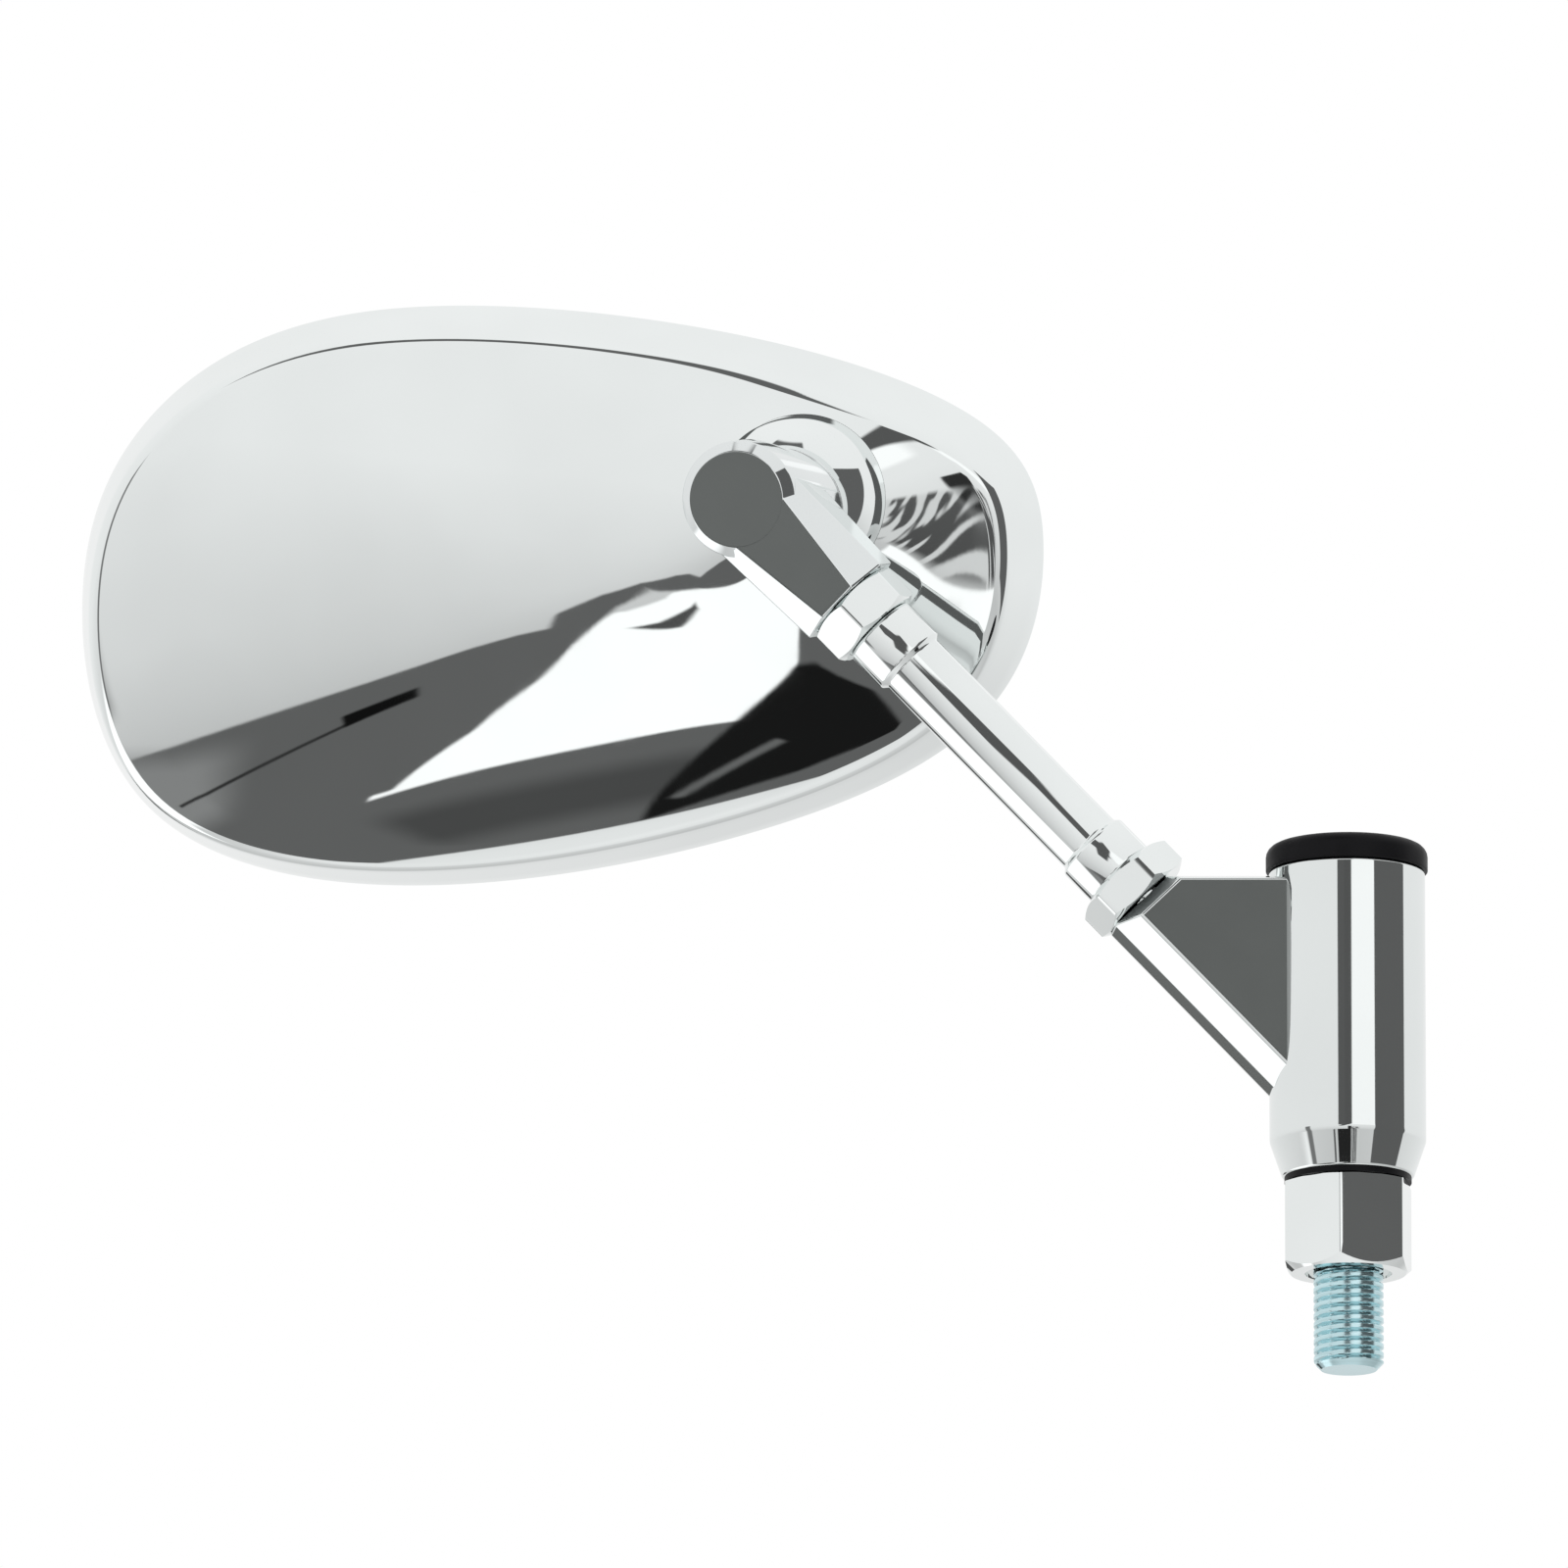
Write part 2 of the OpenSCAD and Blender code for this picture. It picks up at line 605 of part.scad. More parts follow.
module housing_shell() {
    steps = [1, 0.94, 0.86, 0.76, 0.66, 0.56, 0.46, 0.34, 0.2, 0.08];
    inside = flare + shell_wall;
    color([0.86, 0.88, 0.88])
    at_ball() difference() {
        loft(concat(
            [for (k = [len(steps) - 1:-1:0]) panel_ring(inside, steps[k], shell_wall)],
            [flat_ring(shell_wall, -rim_depth), flat_ring(0, -rim_depth)],
            [for (q = steps) panel_ring(flare, q, 0)]));
        translate([0, 0, -rim_depth]) cylinder(r = boss_tube_r + seat_gap, h = 3 * rim_depth);
    }
}

module glass_sphere(r) {
    translate([-head_off_x, -head_off_y, glass_radius - rim_depth]) sphere(r = r, $fn = 360);
}

// The convex pieces behind the rim are slices between spheres about one centre
module convex_slice(outer_r, inner_r, inset) {
    at_ball() intersection() {
        translate([0, 0, -2 * rim_depth]) linear_extrude(height = 3 * rim_depth) polygon(outline(inset));
        difference() {
            glass_sphere(outer_r);
            glass_sphere(inner_r);
        }
    }
}

module mirror_glass() {
    color([0.75, 0.82, 0.86])
    convex_slice(glass_radius, glass_radius - glass_t, stack_inset);
}

module foam_tape() {
    color([0.2, 0.2, 0.2])
    convex_slice(glass_radius - glass_t - seat_gap, glass_radius - glass_t - foam_t, stack_inset + 2);
}

module carrier_plate() {
    back = glass_radius - glass_t - foam_t - seat_gap;
    color([0.12, 0.12, 0.12])
    convex_slice(back, back - carrier_t, stack_inset);
}

module rim_gasket() {
    far = rim_depth * 2;
    color([0.08, 0.08, 0.08])
    at_ball() difference() {
        loft([flat_ring(shell_wall + seat_gap, -rim_depth),
              flat_ring(shell_wall + stack_taper + seat_gap, stack_t - rim_depth)]);
        intersection() {
            translate([0, 0, -far]) linear_extrude(height = 2 * far) polygon(outline(stack_inset - seat_gap));
            glass_sphere(glass_radius + seat_gap);
        }
        translate([0, 0, -far]) linear_extrude(height = 2 * far) polygon(outline(stack_inset + lip_w));
    }
}

pivot_stud();
hex_adapter();
lower_spring_washer();
tension_spring();
upper_spring_washer();
lock_nut();
arm_casting();
swivel_bush();
sliding_washer();
friction_disc();
end_cap();
stem();
lower_ring_nut();
upper_ring_nut();
elbow_casting();
ball_stud();
front_ball_seat();
rear_ball_seat();
housing_shell();
pivot_boss();
pressure_ring();
disc_spring();
retaining_ring();
carrier_plate();
foam_tape();
mirror_glass();
rim_gasket();
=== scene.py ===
"""Looks of a chromed motorcycle mirror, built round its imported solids."""

import math

import bmesh
import bpy
import numpy as np
from bpy.props import FloatProperty, FloatVectorProperty, PointerProperty
from mathutils import Matrix, Vector


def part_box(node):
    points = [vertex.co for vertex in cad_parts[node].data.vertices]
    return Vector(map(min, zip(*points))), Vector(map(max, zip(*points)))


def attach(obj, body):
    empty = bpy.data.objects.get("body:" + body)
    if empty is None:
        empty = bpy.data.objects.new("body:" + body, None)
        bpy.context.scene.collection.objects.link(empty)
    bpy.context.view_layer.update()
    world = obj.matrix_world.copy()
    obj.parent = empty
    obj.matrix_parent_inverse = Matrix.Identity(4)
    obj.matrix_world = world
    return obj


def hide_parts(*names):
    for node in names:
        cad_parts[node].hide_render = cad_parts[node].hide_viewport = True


bl_info = {
    "name": "Motorcycle Mirror",
    "version": (1, 0, 0),
    "blender": (4, 5, 0),
    "location": "View3D > Sidebar > Mirror",
    "description": "Chromed mirror on a ball joint, with its studio",
    "category": "Object",
}

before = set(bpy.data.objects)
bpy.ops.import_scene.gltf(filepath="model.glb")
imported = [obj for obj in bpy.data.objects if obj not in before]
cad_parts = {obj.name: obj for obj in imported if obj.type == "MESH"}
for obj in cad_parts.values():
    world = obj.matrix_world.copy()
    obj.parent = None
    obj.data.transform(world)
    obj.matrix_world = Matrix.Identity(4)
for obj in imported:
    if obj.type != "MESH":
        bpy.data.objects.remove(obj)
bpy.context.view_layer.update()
MM = 0.001

# Outline of the head, in halves of its width and height
HEAD_SHAPE = [
    (1.03, 0.12), (0.96, 0.53), (0.42, 0.90), (-0.44, 1.10), (-0.87, 0.71),
    (-1.03, 0.12), (-0.97, -0.80), (-0.37, -1.07), (0.40, -0.90), (0.93, -0.55),
]
OUTLINE_POINTS = 720

# Clearance round the threads, and the gap between pieces that touch
THREAD_GAP = 0.05 * MM
SEAT_GAP = 0.02 * MM

# How far the arm's flat stops short of its end face
END_BEVEL = 2 * MM

# Half depth of the arm's parting line
PARTING = 0.4 * MM

# How far the head's outlines lie inside those of its solids, and how far a cutter runs past its cut
SKIN_GAP = 0.08 * MM
OVERRUN = 1 * MM

# Depth of the grain in the finishes
GRAIN_DEPTH = 0.05 * MM

# Direction in which the camera looks, and the place it looks at
VIEW = (0.0, 0.9763, 0.2164)
AIM = (-0.08056, -0.01513, 0.06827)


def metres(text, note, default, **limits):
    return FloatProperty(
        name=text, description=note, default=default, subtype="DISTANCE", unit="LENGTH", precision=4, **limits
    )


def size(text, note, default):
    """A length given in millimetres, which may be set between a quarter of it and four times as much."""
    return metres(text, note, default * MM, min=default * MM / 4, max=default * MM * 4)


def turn(text, note, degrees):
    return FloatProperty(
        name=text, description=note, default=math.radians(degrees), subtype="ANGLE", unit="ROTATION"
    )


def tint(text, note, rgb):
    return FloatVectorProperty(
        name=text, description=note, default=rgb, size=3, min=0.0, max=1.0, subtype="COLOR"
    )


def share(text, note, default):
    return FloatProperty(name=text, description=note, default=default, min=0.0, max=4.0, subtype="FACTOR")


class MirrorBaseSizes(bpy.types.PropertyGroup):
    """Sizes of the stud, the hex adapter and the swivel base"""

    stud_radius: size("Stud radius", "Outer radius of the stud's thread", 5)
    thread_pitch: size("Thread pitch", "Pitch of the stud's thread", 1.25)
    thread_depth: size("Thread depth", "Depth of the stud's thread", 0.5)
    hex_flats: size("Hex flats", "Width across the flats of the hex adapter", 17)
    hex_height: size("Hex height", "Height of the hex adapter", 13.2)
    hex_turn: turn("Hex turn", "Turn of the hex flats about the stud", 21.6)
    recess_width: size("Recess width", "From the stud to the recess's wall, in the hex's seat", 1.2)
    recess_depth: size("Recess depth", "Depth of the recess in the hex's seat", 0.8)
    spigot_radius: size("Spigot radius", "Radius of the pivot above the hex", 7)
    spigot_height: size("Spigot height", "Height of the pivot above the hex", 7)
    body_foot: size("Body foot", "Height of the body's lower end", 14)
    body_top: size("Body top", "Height of the body's upper end", 58.6)
    body_radius: size("Body radius", "Radius of the swivel body", 11.2)
    foot_radius: size("Foot radius", "Radius of the body's lower end", 9.4)
    foot_taper: size("Foot taper", "Height of the taper at the foot", 4.6)
    chamber_radius: size("Chamber radius", "Inner radius of the spring chamber", 8.8)
    chamber_floor: size("Chamber floor", "Height of the chamber's floor", 25.4)
    bush_radius: size("Bush radius", "Outer radius of the swivel bush", 8)
    bush_top: size("Bush top", "Height of the bush's upper end", 20.4)
    cap_radius: size("Cap radius", "Radius of the end cap", 11.6)
    cap_height: size("Cap height", "Height of the cap above the body", 3.8)
    cap_corner: size("Cap corner", "Rounding of the cap's upper edge", 2.4)
    plug_depth: size("Plug depth", "Depth of the cap's plug", 3.6)
    edge: size("Edge rounding", "Rounding of the cast edges", 0.5)


class MirrorArmSizes(bpy.types.PropertyGroup):
    """Sizes of the bevelled arm between the body and the stem"""

    thickness: size("Arm thickness", "Thickness of the arm", 14)
    reach: size("Arm reach", "Distance along the stem to the end face", 41.7)
    root: size("Stem root", "Height at which the stem's axis meets the swivel axis", 24.3)
    lean: turn("Stem lean", "Angle between the stem and the swivel axis", 43.7)
    top_drop: size("Top drop", "Drop from the body's top to the arm's top edge", 1)
    bevel: size("Bevel", "Width of the bevel along the arm", 3.2)
    draft: size("Draft", "Draft of the side from its bevel to the parting line", 0.9)
    rounding: size("Edge rounding", "Rounding of the arm's edges", 0.35)


class MirrorStemSizes(bpy.types.PropertyGroup):
    """Sizes of the stem, its ring nuts and the elbow"""

    radius: size("Stem radius", "Radius of the stem", 4.9)
    ferrule_radius: size("Ferrule radius", "Radius of the swollen ends", 5.6)
    lower_ferrule: size("Lower ferrule", "Length of the lower swollen end", 6.5)
    upper_ferrule: size("Upper ferrule", "Length of the upper swollen end", 7)
    thread_radius: size("Thread radius", "Radius of the stem's threads", 4)
    thread_length: size("Thread length", "Length of the threads", 11)
    lower_flats: size("Lower ring flats", "Width across the flats of the lower ring", 14)
    lower_height: size("Lower ring height", "Height of the lower ring", 5)
    upper_flats: size("Upper ring flats", "Width across the flats of the upper ring", 13)
    upper_height: size("Upper ring height", "Height of the upper ring", 5.8)
    stem_length: size("Stem length", "Distance along the stem to the elbow's round end", 123.7)
    twist: turn("Stem twist", "Turn of the stem about its own axis", 21.5)
    elbow_flats: size("Elbow flats", "Width of the elbow's lower end", 15)
    elbow_length: size("Elbow length", "Length of the elbow up to its round end", 21)
    elbow_radius: size("Elbow radius", "Radius of the round end", 8.4)
    elbow_bevel: size("Elbow bevel", "Bevel round the front", 1.5)
    elbow_flat: size("Elbow flat", "Width of the front flat", 10.4)
    foot_radius: size("Foot radius", "Radius of the foot that faces the head", 9.2)
    foot_lean: turn("Foot lean", "Lean of the foot's axis", 5.5)
    foot_shift: size("Foot shift", "Shift of the foot's axis along the stem", 4)
    ball_drop: size("Ball drop", "Distance from the stem's axis to the ball", 22)
    cup_radius: size("Cup radius", "Radius of the cup in the foot", 13.4)
    shank_radius: size("Shank radius", "Radius of the ball's shank", 4)
    rounding: size("Edge rounding", "Rounding of the cast edges", 0.3)


class MirrorHeadSizes(bpy.types.PropertyGroup):
    """Sizes of the mirror head, its boss, gasket and glass"""

    width: size("Head width", "Width of the head", 143.6)
    height: size("Head height", "Height of the head", 84.4)
    offset_x: size("Offset along the width", "From the ball to the head's middle", 39.7)
    offset_y: size("Offset along the height", "From the ball to the head's middle", 12.9)
    rim_depth: size("Rim depth", "From the ball to the rim", 17)
    crease_depth: size("Crease depth", "From the ball to the crease", 6)
    flare: size("Flare", "Flare of the side wall", 3.6)
    rise: size("Panel rise", "Rise of the domed panel", 8)
    swell: size("Swelling", "Height of the swelling round the boss", 3)
    wall: size("Wall", "Wall of the housing", 1.8)
    crease_round: size("Crease rounding", "Rounding of the crease", 1.6)
    rim_round: size("Rim rounding", "Rounding of the rim's edges", 0.4)
    level: turn("Head level", "Turn of the head about its boss", 42.6)
    boss_radius: size("Boss radius", "Outer radius of the boss's dome", 13)
    boss_tube: size("Boss tube", "Outer radius of the boss's tube", 12.298)
    boss_bore: size("Boss bore", "Inner radius of the boss", 10.8)
    boss_mouth: size("Boss mouth", "Radius of the opening in the dome", 8.3)
    boss_end: size("Boss end", "Depth of the boss's inner end", 10.88)
    glass_radius: size("Glass curvature", "Radius of the convex mirror", 1200)
    glass_thickness: size("Glass thickness", "Thickness of the glass", 2.4)
    glass_inset: size("Glass inset", "From the outline to the glass's edge", 4.422)
    stack: size("Stack thickness", "Glass, tape and carrier together", 4.4)
    stack_taper: size("Stack taper", "How far the inner wall closes in over the stack", 1.722)
    lip: size("Gasket lip", "Width of the gasket's lip", 1.2)


class MirrorFinishes(bpy.types.PropertyGroup):
    """Colours and polish of the mirror's finishes"""

    chrome: tint("Chrome", "Colour of the chrome plate", (0.85, 0.88, 0.875))
    cast_chrome: tint("Cast chrome", "Colour of the plated castings", (0.80, 0.83, 0.825))
    elbow_chrome: tint("Elbow chrome", "Colour of the plated elbow", (0.78, 0.81, 0.81))
    # The flats' dark grey is a painted dark reflection: a dark surround baked into the chrome's colour, the
    # same from every side
    smoked: tint("Smoked chrome", "Colour of the satin flats of the arm and the elbow", (0.180, 0.192, 0.187))
    machined: tint("Machined face", "Colour of the arm's machined end", (0.50, 0.52, 0.52))
    zinc: tint("Blue zinc", "Colour of the stud's blue zinc plate", (0.56, 0.76, 0.80))
    steel: tint("Steel", "Colour of the bare steel", (0.55, 0.55, 0.56))
    bronze: tint("Bronze", "Colour of the bush", (0.50, 0.33, 0.14))
    nylon: tint("Nylon", "Colour of the ball seats", (0.72, 0.69, 0.58))
    black: tint("Black plastic", "Colour of the cap and the carrier", (0.006, 0.006, 0.007))
    rubber: tint("Rubber", "Colour of the gasket", (0.018, 0.018, 0.019))
    fibre: tint("Friction fibre", "Colour of the friction disc", (0.09, 0.06, 0.04))
    foam: tint("Foam", "Colour of the tape", (0.03, 0.03, 0.032))
    glass: tint("Mirror glass", "Colour of the silvered glass", (0.80, 0.86, 0.86))
    chrome_polish: share("Chrome roughness", "Roughness of the chrome plate", 0.03)


class MirrorStudio(bpy.types.PropertyGroup):
    """The studio: what the chrome reflects, the floor and the camera"""

    surround: share("Cards", "Brightness of the cards round the mirror", 1.0)
    backdrop: share("Backdrop", "Brightness of the backdrop behind the mirror", 1.0)
    fill: share("Fill light", "Brightness of the light on the dull surfaces", 1.0)
    floor_level: metres("Floor level", "Height of the floor", -0.35)
    floor_size: metres("Floor size", "Side of the floor", 60.0)
    focal: FloatProperty(name="Focal length", description="Focal length in millimetres", default=675.0)
    distance: metres("Camera distance", "From the camera to the mirror", 4.196)


GROUPS = (
    ("mirror_base", MirrorBaseSizes),
    ("mirror_arm", MirrorArmSizes),
    ("mirror_stem", MirrorStemSizes),
    ("mirror_head", MirrorHeadSizes),
    ("mirror_finish", MirrorFinishes),
    ("mirror_studio", MirrorStudio),
)


# Places of the moving parts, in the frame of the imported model
def stem_place():
    arm, stem = bpy.context.scene.mirror_arm, bpy.context.scene.mirror_stem
    return (
        Matrix.Translation((0, 0, arm.root))
        @ Matrix.Rotation(-arm.lean, 4, "Y")
        @ Matrix.Rotation(-stem.twist, 4, "Z")
    )


def elbow_place():
    stem = bpy.context.scene.mirror_stem
    return (
        stem_place()
        @ Matrix.Translation((0, 0, stem.stem_length - stem.foot_shift))
        @ Matrix.Rotation(math.pi / 2 + stem.foot_lean, 4, "X")
    )


def head_place():
    stem, head = bpy.context.scene.mirror_stem, bpy.context.scene.mirror_head
    return (
        elbow_place()
        @ Matrix.Translation((0, 0, -stem.ball_drop))
        @ Matrix.Rotation(-head.level, 4, "Z")
    )


# Meshes
def add_object(name, points, faces, place=None, sharp=32.0):
    """A mesh object from points and faces, smooth except over edges sharper than the given angle."""
    mesh = bpy.data.meshes.new(name)
    mesh.from_pydata([tuple(p) for p in points], [], faces)
    mesh.validate()
    finish_mesh(mesh, place, sharp)
    made = bpy.data.objects.new(name, mesh)
    bpy.context.scene.collection.objects.link(made)
    return made


def finish_mesh(mesh, place, sharp):
    if place is not None:
        mesh.transform(place)
    work = bmesh.new()
    work.from_mesh(mesh)
    bmesh.ops.remove_doubles(work, verts=work.verts, dist=0.002 * MM)
    bmesh.ops.recalc_face_normals(work, faces=work.faces)
    work.to_mesh(mesh)
    work.free()
    mesh.shade_smooth()
    mesh.set_sharp_from_angle(angle=math.radians(sharp))
    mesh.update()


def ring_faces(rings, sides, closed):
    """Faces between rings of points, round each ring; closed joins the last ring to the first."""
    faces = []
    for k in range(rings if closed else rings - 1):
        a, b = k * sides, (k + 1) % rings * sides
        for i in range(sides):
            j = (i + 1) % sides
            faces.append((a + i, a + j, b + j, b + i))
    return faces


def circle(radius, z, sides):
    """Points round the local Z axis."""
    angles = [2 * math.pi * i / sides for i in range(sides)]
    return [(radius * math.cos(a), radius * math.sin(a), z) for a in angles]


def bend(start, corner, end, steps):
    """Steps of a curve that leaves start towards the corner and reaches end from it."""
    return [(1 - t) ** 2 * start + 2 * t * (1 - t) * corner + t * t * end for t in np.linspace(0, 1, steps)]


def rounded(profile, radius, steps=5, closed=False):
    """A profile of (r, z) points with its corners rounded. A third value in a point is its own radius."""
    made = []
    n = len(profile)
    for i, point in enumerate(profile):
        own = point[2] if len(point) > 2 else radius
        p = np.array(point[:2])
        ends = i in (0, n - 1) and not closed
        if ends or own <= 0:
            made.append(p)
            continue
        a = np.array(profile[i - 1][:2]) - p
        b = np.array(profile[(i + 1) % n][:2]) - p
        la, lb = np.linalg.norm(a), np.linalg.norm(b)
        a, b = a / la, b / lb
        half = math.acos(max(-1.0, min(1.0, float(a @ b)))) / 2
        if half > math.radians(87):
            made.append(p)
            continue
        cut = min(own / math.tan(half), la * 0.45, lb * 0.45)
        r = cut * math.tan(half)
        middle = p + (a + b) / np.linalg.norm(a + b) * (r / math.sin(half))
        start, end = p + a * cut - middle, p + b * cut - middle
        sweep = math.atan2(start[0] * end[1] - start[1] * end[0], float(start @ end))
        for k in range(steps + 1):
            t = sweep * k / steps
            c, s = math.cos(t), math.sin(t)
            made.append(middle + np.array([start[0] * c - start[1] * s, start[0] * s + start[1] * c]))
    return made


def turned(name, profile, place=None, radius=0.3 * MM, sides=144, closed=True):
    """A turned piece: its profile, rounded at the corners, swung round the local Z axis.
    An open profile starts and ends on the axis."""
    line = rounded(profile, radius, closed=closed)
    swung = line if closed else line[1:-1]
    points = [point for r, z in swung for point in circle(r, z, sides)]
    faces = ring_faces(len(swung), sides, closed)
    if not closed:
        first, last = len(points), len(points) + 1
        top = first - sides
        points += [(0, 0, line[0][1]), (0, 0, line[-1][1])]
        for i in range(sides):
            j = (i + 1) % sides
            faces += [(first, j, i), (last, top + i, top + j)]
    return add_object(name, points, faces, place)


def drill(name, radius, low, high, place=None, sides=64):
    """A plain cylinder to cut with."""
    line = [(0, low), (radius, low, 0), (radius, high, 0), (0, high)]
    return turned(name, line, place, closed=False, sides=sides)


def joined(name, rings, place, sharp, closed=True):
    """A piece from rings of points, joined in order; its last ring meets the first, or both are filled."""
    sides, points = len(rings[0]), [p for ring in rings for p in ring]
    faces = ring_faces(len(rings), sides, closed)
    if not closed:
        faces += [tuple(range(sides))[::-1], tuple(range(len(points) - sides, len(points)))]
    return add_object(name, points, faces, place, sharp)


def hexagon(flats, corner, per_side=10, per_corner=5):
    """Points round a hexagon with rounded corners, as (x, y)."""
    reach = flats / math.sqrt(3) - corner / math.cos(math.radians(30))

    def on_corner(k, degrees):
        middle = math.radians(60 * k)
        a = middle + math.radians(degrees)
        x = reach * math.cos(middle) + corner * math.cos(a)
        y = reach * math.sin(middle) + corner * math.sin(a)
        return x, y

    points = []
    for k in range(6):
        points += [on_corner(k, -30 + 60 * i / per_corner) for i in range(per_corner + 1)]
        a, b = np.array(points[-1]), np.array(on_corner(k + 1, -30))
        points += [tuple(a + (b - a) * i / per_side) for i in range(1, per_side)]
    return points


def hex_piece(name, flats, low, high, bore, place, chamfer_low, chamfer_high, corner):
    """A hexagon piece with a bore, its ends turned to shallow cones where a chamfer is given."""
    outline = hexagon(flats, corner)
    span, everywhere = high - low, flats
    flat_end, cone = flats / 2 * 0.97, flats / 2 * 1.04
    inner = bore + 0.3 * MM
    levels = (
        (bore, low, 0), (inner, low, 0), (flat_end, low, chamfer_low), (cone, low, chamfer_low),
        (everywhere, low, chamfer_low), (everywhere, low + span * 0.2, 0), (everywhere, low + span * 0.5, 0),
        (everywhere, high - span * 0.2, 0), (everywhere, high, -chamfer_high), (cone, high, -chamfer_high),
        (flat_end, high, -chamfer_high), (inner, high, 0), (bore, high, 0),
    )
    rings = []
    for reach, z, slope in levels:
        ring = []
        for x, y in outline:
            r = math.hypot(x, y)
            to = min(r, reach)
            ring.append((x / r * to, y / r * to, z + slope * max(0.0, to - flat_end)))
        rings.append(ring)
    return joined(name, rings, place, 25.0)


def hull_object(name, points, place=None):
    """The convex hull of the points."""
    work = bmesh.new()
    for p in points:
        work.verts.new(p)
    made = bmesh.ops.convex_hull(work, input=work.verts)
    loose = [v for v in made["geom_interior"] + made["geom_unused"] if isinstance(v, bmesh.types.BMVert)]
    bmesh.ops.delete(work, geom=list(set(loose)), context="VERTS")
    bmesh.ops.dissolve_limit(work, angle_limit=math.radians(0.05), verts=work.verts, edges=work.edges)
    mesh = bpy.data.meshes.new(name)
    work.to_mesh(mesh)
    work.free()
    if place is not None:
        mesh.transform(place)
    made = bpy.data.objects.new(name, mesh)
    bpy.context.scene.collection.objects.link(made)
    return made


def carve(target, steps, sharp=30.0):
    """Joins or cuts other solids into the target, in order, and removes them."""
    for operation, tool in steps:
        cut = target.modifiers.new("carve", "BOOLEAN")
        cut.operation = operation
        cut.solver = "EXACT"
        cut.object = tool
        bake(target)
        bpy.data.objects.remove(tool)
    finish_mesh(target.data, None, sharp)


def bake(target):
    """Applies the target's modifiers to its mesh."""
    bpy.context.view_layer.update()
    depsgraph = bpy.context.evaluated_depsgraph_get()
    mesh = bpy.data.meshes.new_from_object(target.evaluated_get(depsgraph))
    target.modifiers.clear()
    old = target.data
    target.data = mesh
    mesh.name = target.name
    bpy.data.meshes.remove(old)


def soften(target, width, angle, segments):
    """Rounds the edges sharper than the given angle."""
    bevel = target.modifiers.new("soften", "BEVEL")
    bevel.width = width
    bevel.segments = segments
    bevel.limit_method = "ANGLE"
    bevel.angle_limit = math.radians(angle)
    bake(target)


def refinish(target, finish, ways, heights, slack, level=0.998):
    """A second finish on the flat faces that look one of the given ways from the given height."""
    target.data.materials.append(finishes()[finish])
    for face in target.data.polygons:
        for way, height in zip(ways, heights):
            if face.normal.dot(way) > level and abs(face.center.dot(way) - height) < slack:
                face.material_index = len(target.data.materials) - 1


def steady(target):
    """Lets the large flats set the shading of the rounded edges beside them."""
    weigh = target.modifiers.new("steady", "WEIGHTED_NORMAL")
    weigh.keep_sharp = True
    weigh.weight = 80


def settle(piece, body, slot, finish, *nodes):
    """Gives the piece its finish, and lets it ride on its body in place of its solids."""
    piece.data.materials.clear()
    piece.data.materials.append(finishes()[finish])
    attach(piece, body)
    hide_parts(*nodes)


# Nodes that both the finishes and the studio are made of
class NodeMaker:
    """Adds nodes to a tree; an input is a number or the output of another node"""

    def __init__(self, tree):
        self.nodes, self.links = tree.nodes, tree.links

    def feed(self, socket, value):
        if isinstance(value, (int, float, tuple)):
            socket.default_value = value
        elif value is not None:
            self.links.new(value, socket)

    def add(self, kind, **inputs):
        """A node with its inputs given by name, such as From_Min for From Min."""
        node = self.nodes.new("ShaderNode" + kind)
        for name, value in inputs.items():
            self.feed(node.inputs[name.replace("_", " ")], value)
        return node

    def fit(self, value, start, end, low=0.0, high=1.0, way="SMOOTHSTEP"):
        """Brings a value that runs from start to end between low and high."""
        node = self.add("MapRange", From_Min=start, From_Max=end, To_Min=low, To_Max=high, Value=value)
        node.interpolation_type = way
        return node.outputs["Result"]


# Finishes
# Part of the noise's range that the patterns use
NOISE_LOW, NOISE_HIGH = 0.35, 0.65


class Finish(NodeMaker):
    """A material whose patterns come from noise in the piece's own place"""

    def __init__(self, name):
        self.material = bpy.data.materials.new(name)
        self.material.use_nodes = True
        super().__init__(self.material.node_tree)
        self.shader = self.nodes["Principled BSDF"]
        self.place = self.add("TexCoord").outputs["Object"]

    def noise(self, scale, detail=3.0, stretch=(1, 1, 1)):
        mapping = self.add("Mapping", Scale=stretch, Vector=self.place)
        noise = self.add("TexNoise", Scale=scale, Detail=detail, Vector=mapping.outputs["Vector"])
        return noise.outputs["Fac"]

    def colours(self, value, first, second):
        ramp = self.add("ValToRGB", Fac=value)
        for element, position, rgb in zip(ramp.color_ramp.elements, (NOISE_LOW, NOISE_HIGH), (first, second)):
            element.position = position
            element.color = (*rgb, 1)
        self.feed(self.shader.inputs["Base Color"], ramp.outputs["Color"])

    def bump(self, value, strength):
        bump = self.add("Bump", Strength=strength, Distance=GRAIN_DEPTH, Height=value)
        self.feed(self.shader.inputs["Normal"], bump.outputs["Normal"])

    def rough(self, value, low, high):
        fitted = self.fit(value, NOISE_LOW, NOISE_HIGH, low, high, "LINEAR")
        self.feed(self.shader.inputs["Roughness"], fitted)


def shade(rgb, factor):
    """The colour made lighter or darker by the factor."""
    return tuple(max(0.0, min(1.0, c * factor)) for c in rgb)


def plated(name, rgb, rough, grain=0.02, low=0.7, high=1.5):
    """Bright plating: faint clouds in the polish and a trace of orange peel."""
    finish = Finish(name)
    finish.shader.inputs["Metallic"].default_value = 1.0
    clouds = finish.noise(45.0, 2.0)
    finish.colours(clouds, shade(rgb, 0.985), shade(rgb, 1.015))
    finish.rough(finish.noise(160.0, 4.0), rough * low, rough * high)
    finish.bump(finish.noise(420.0, 2.0), grain)
    return finish.material


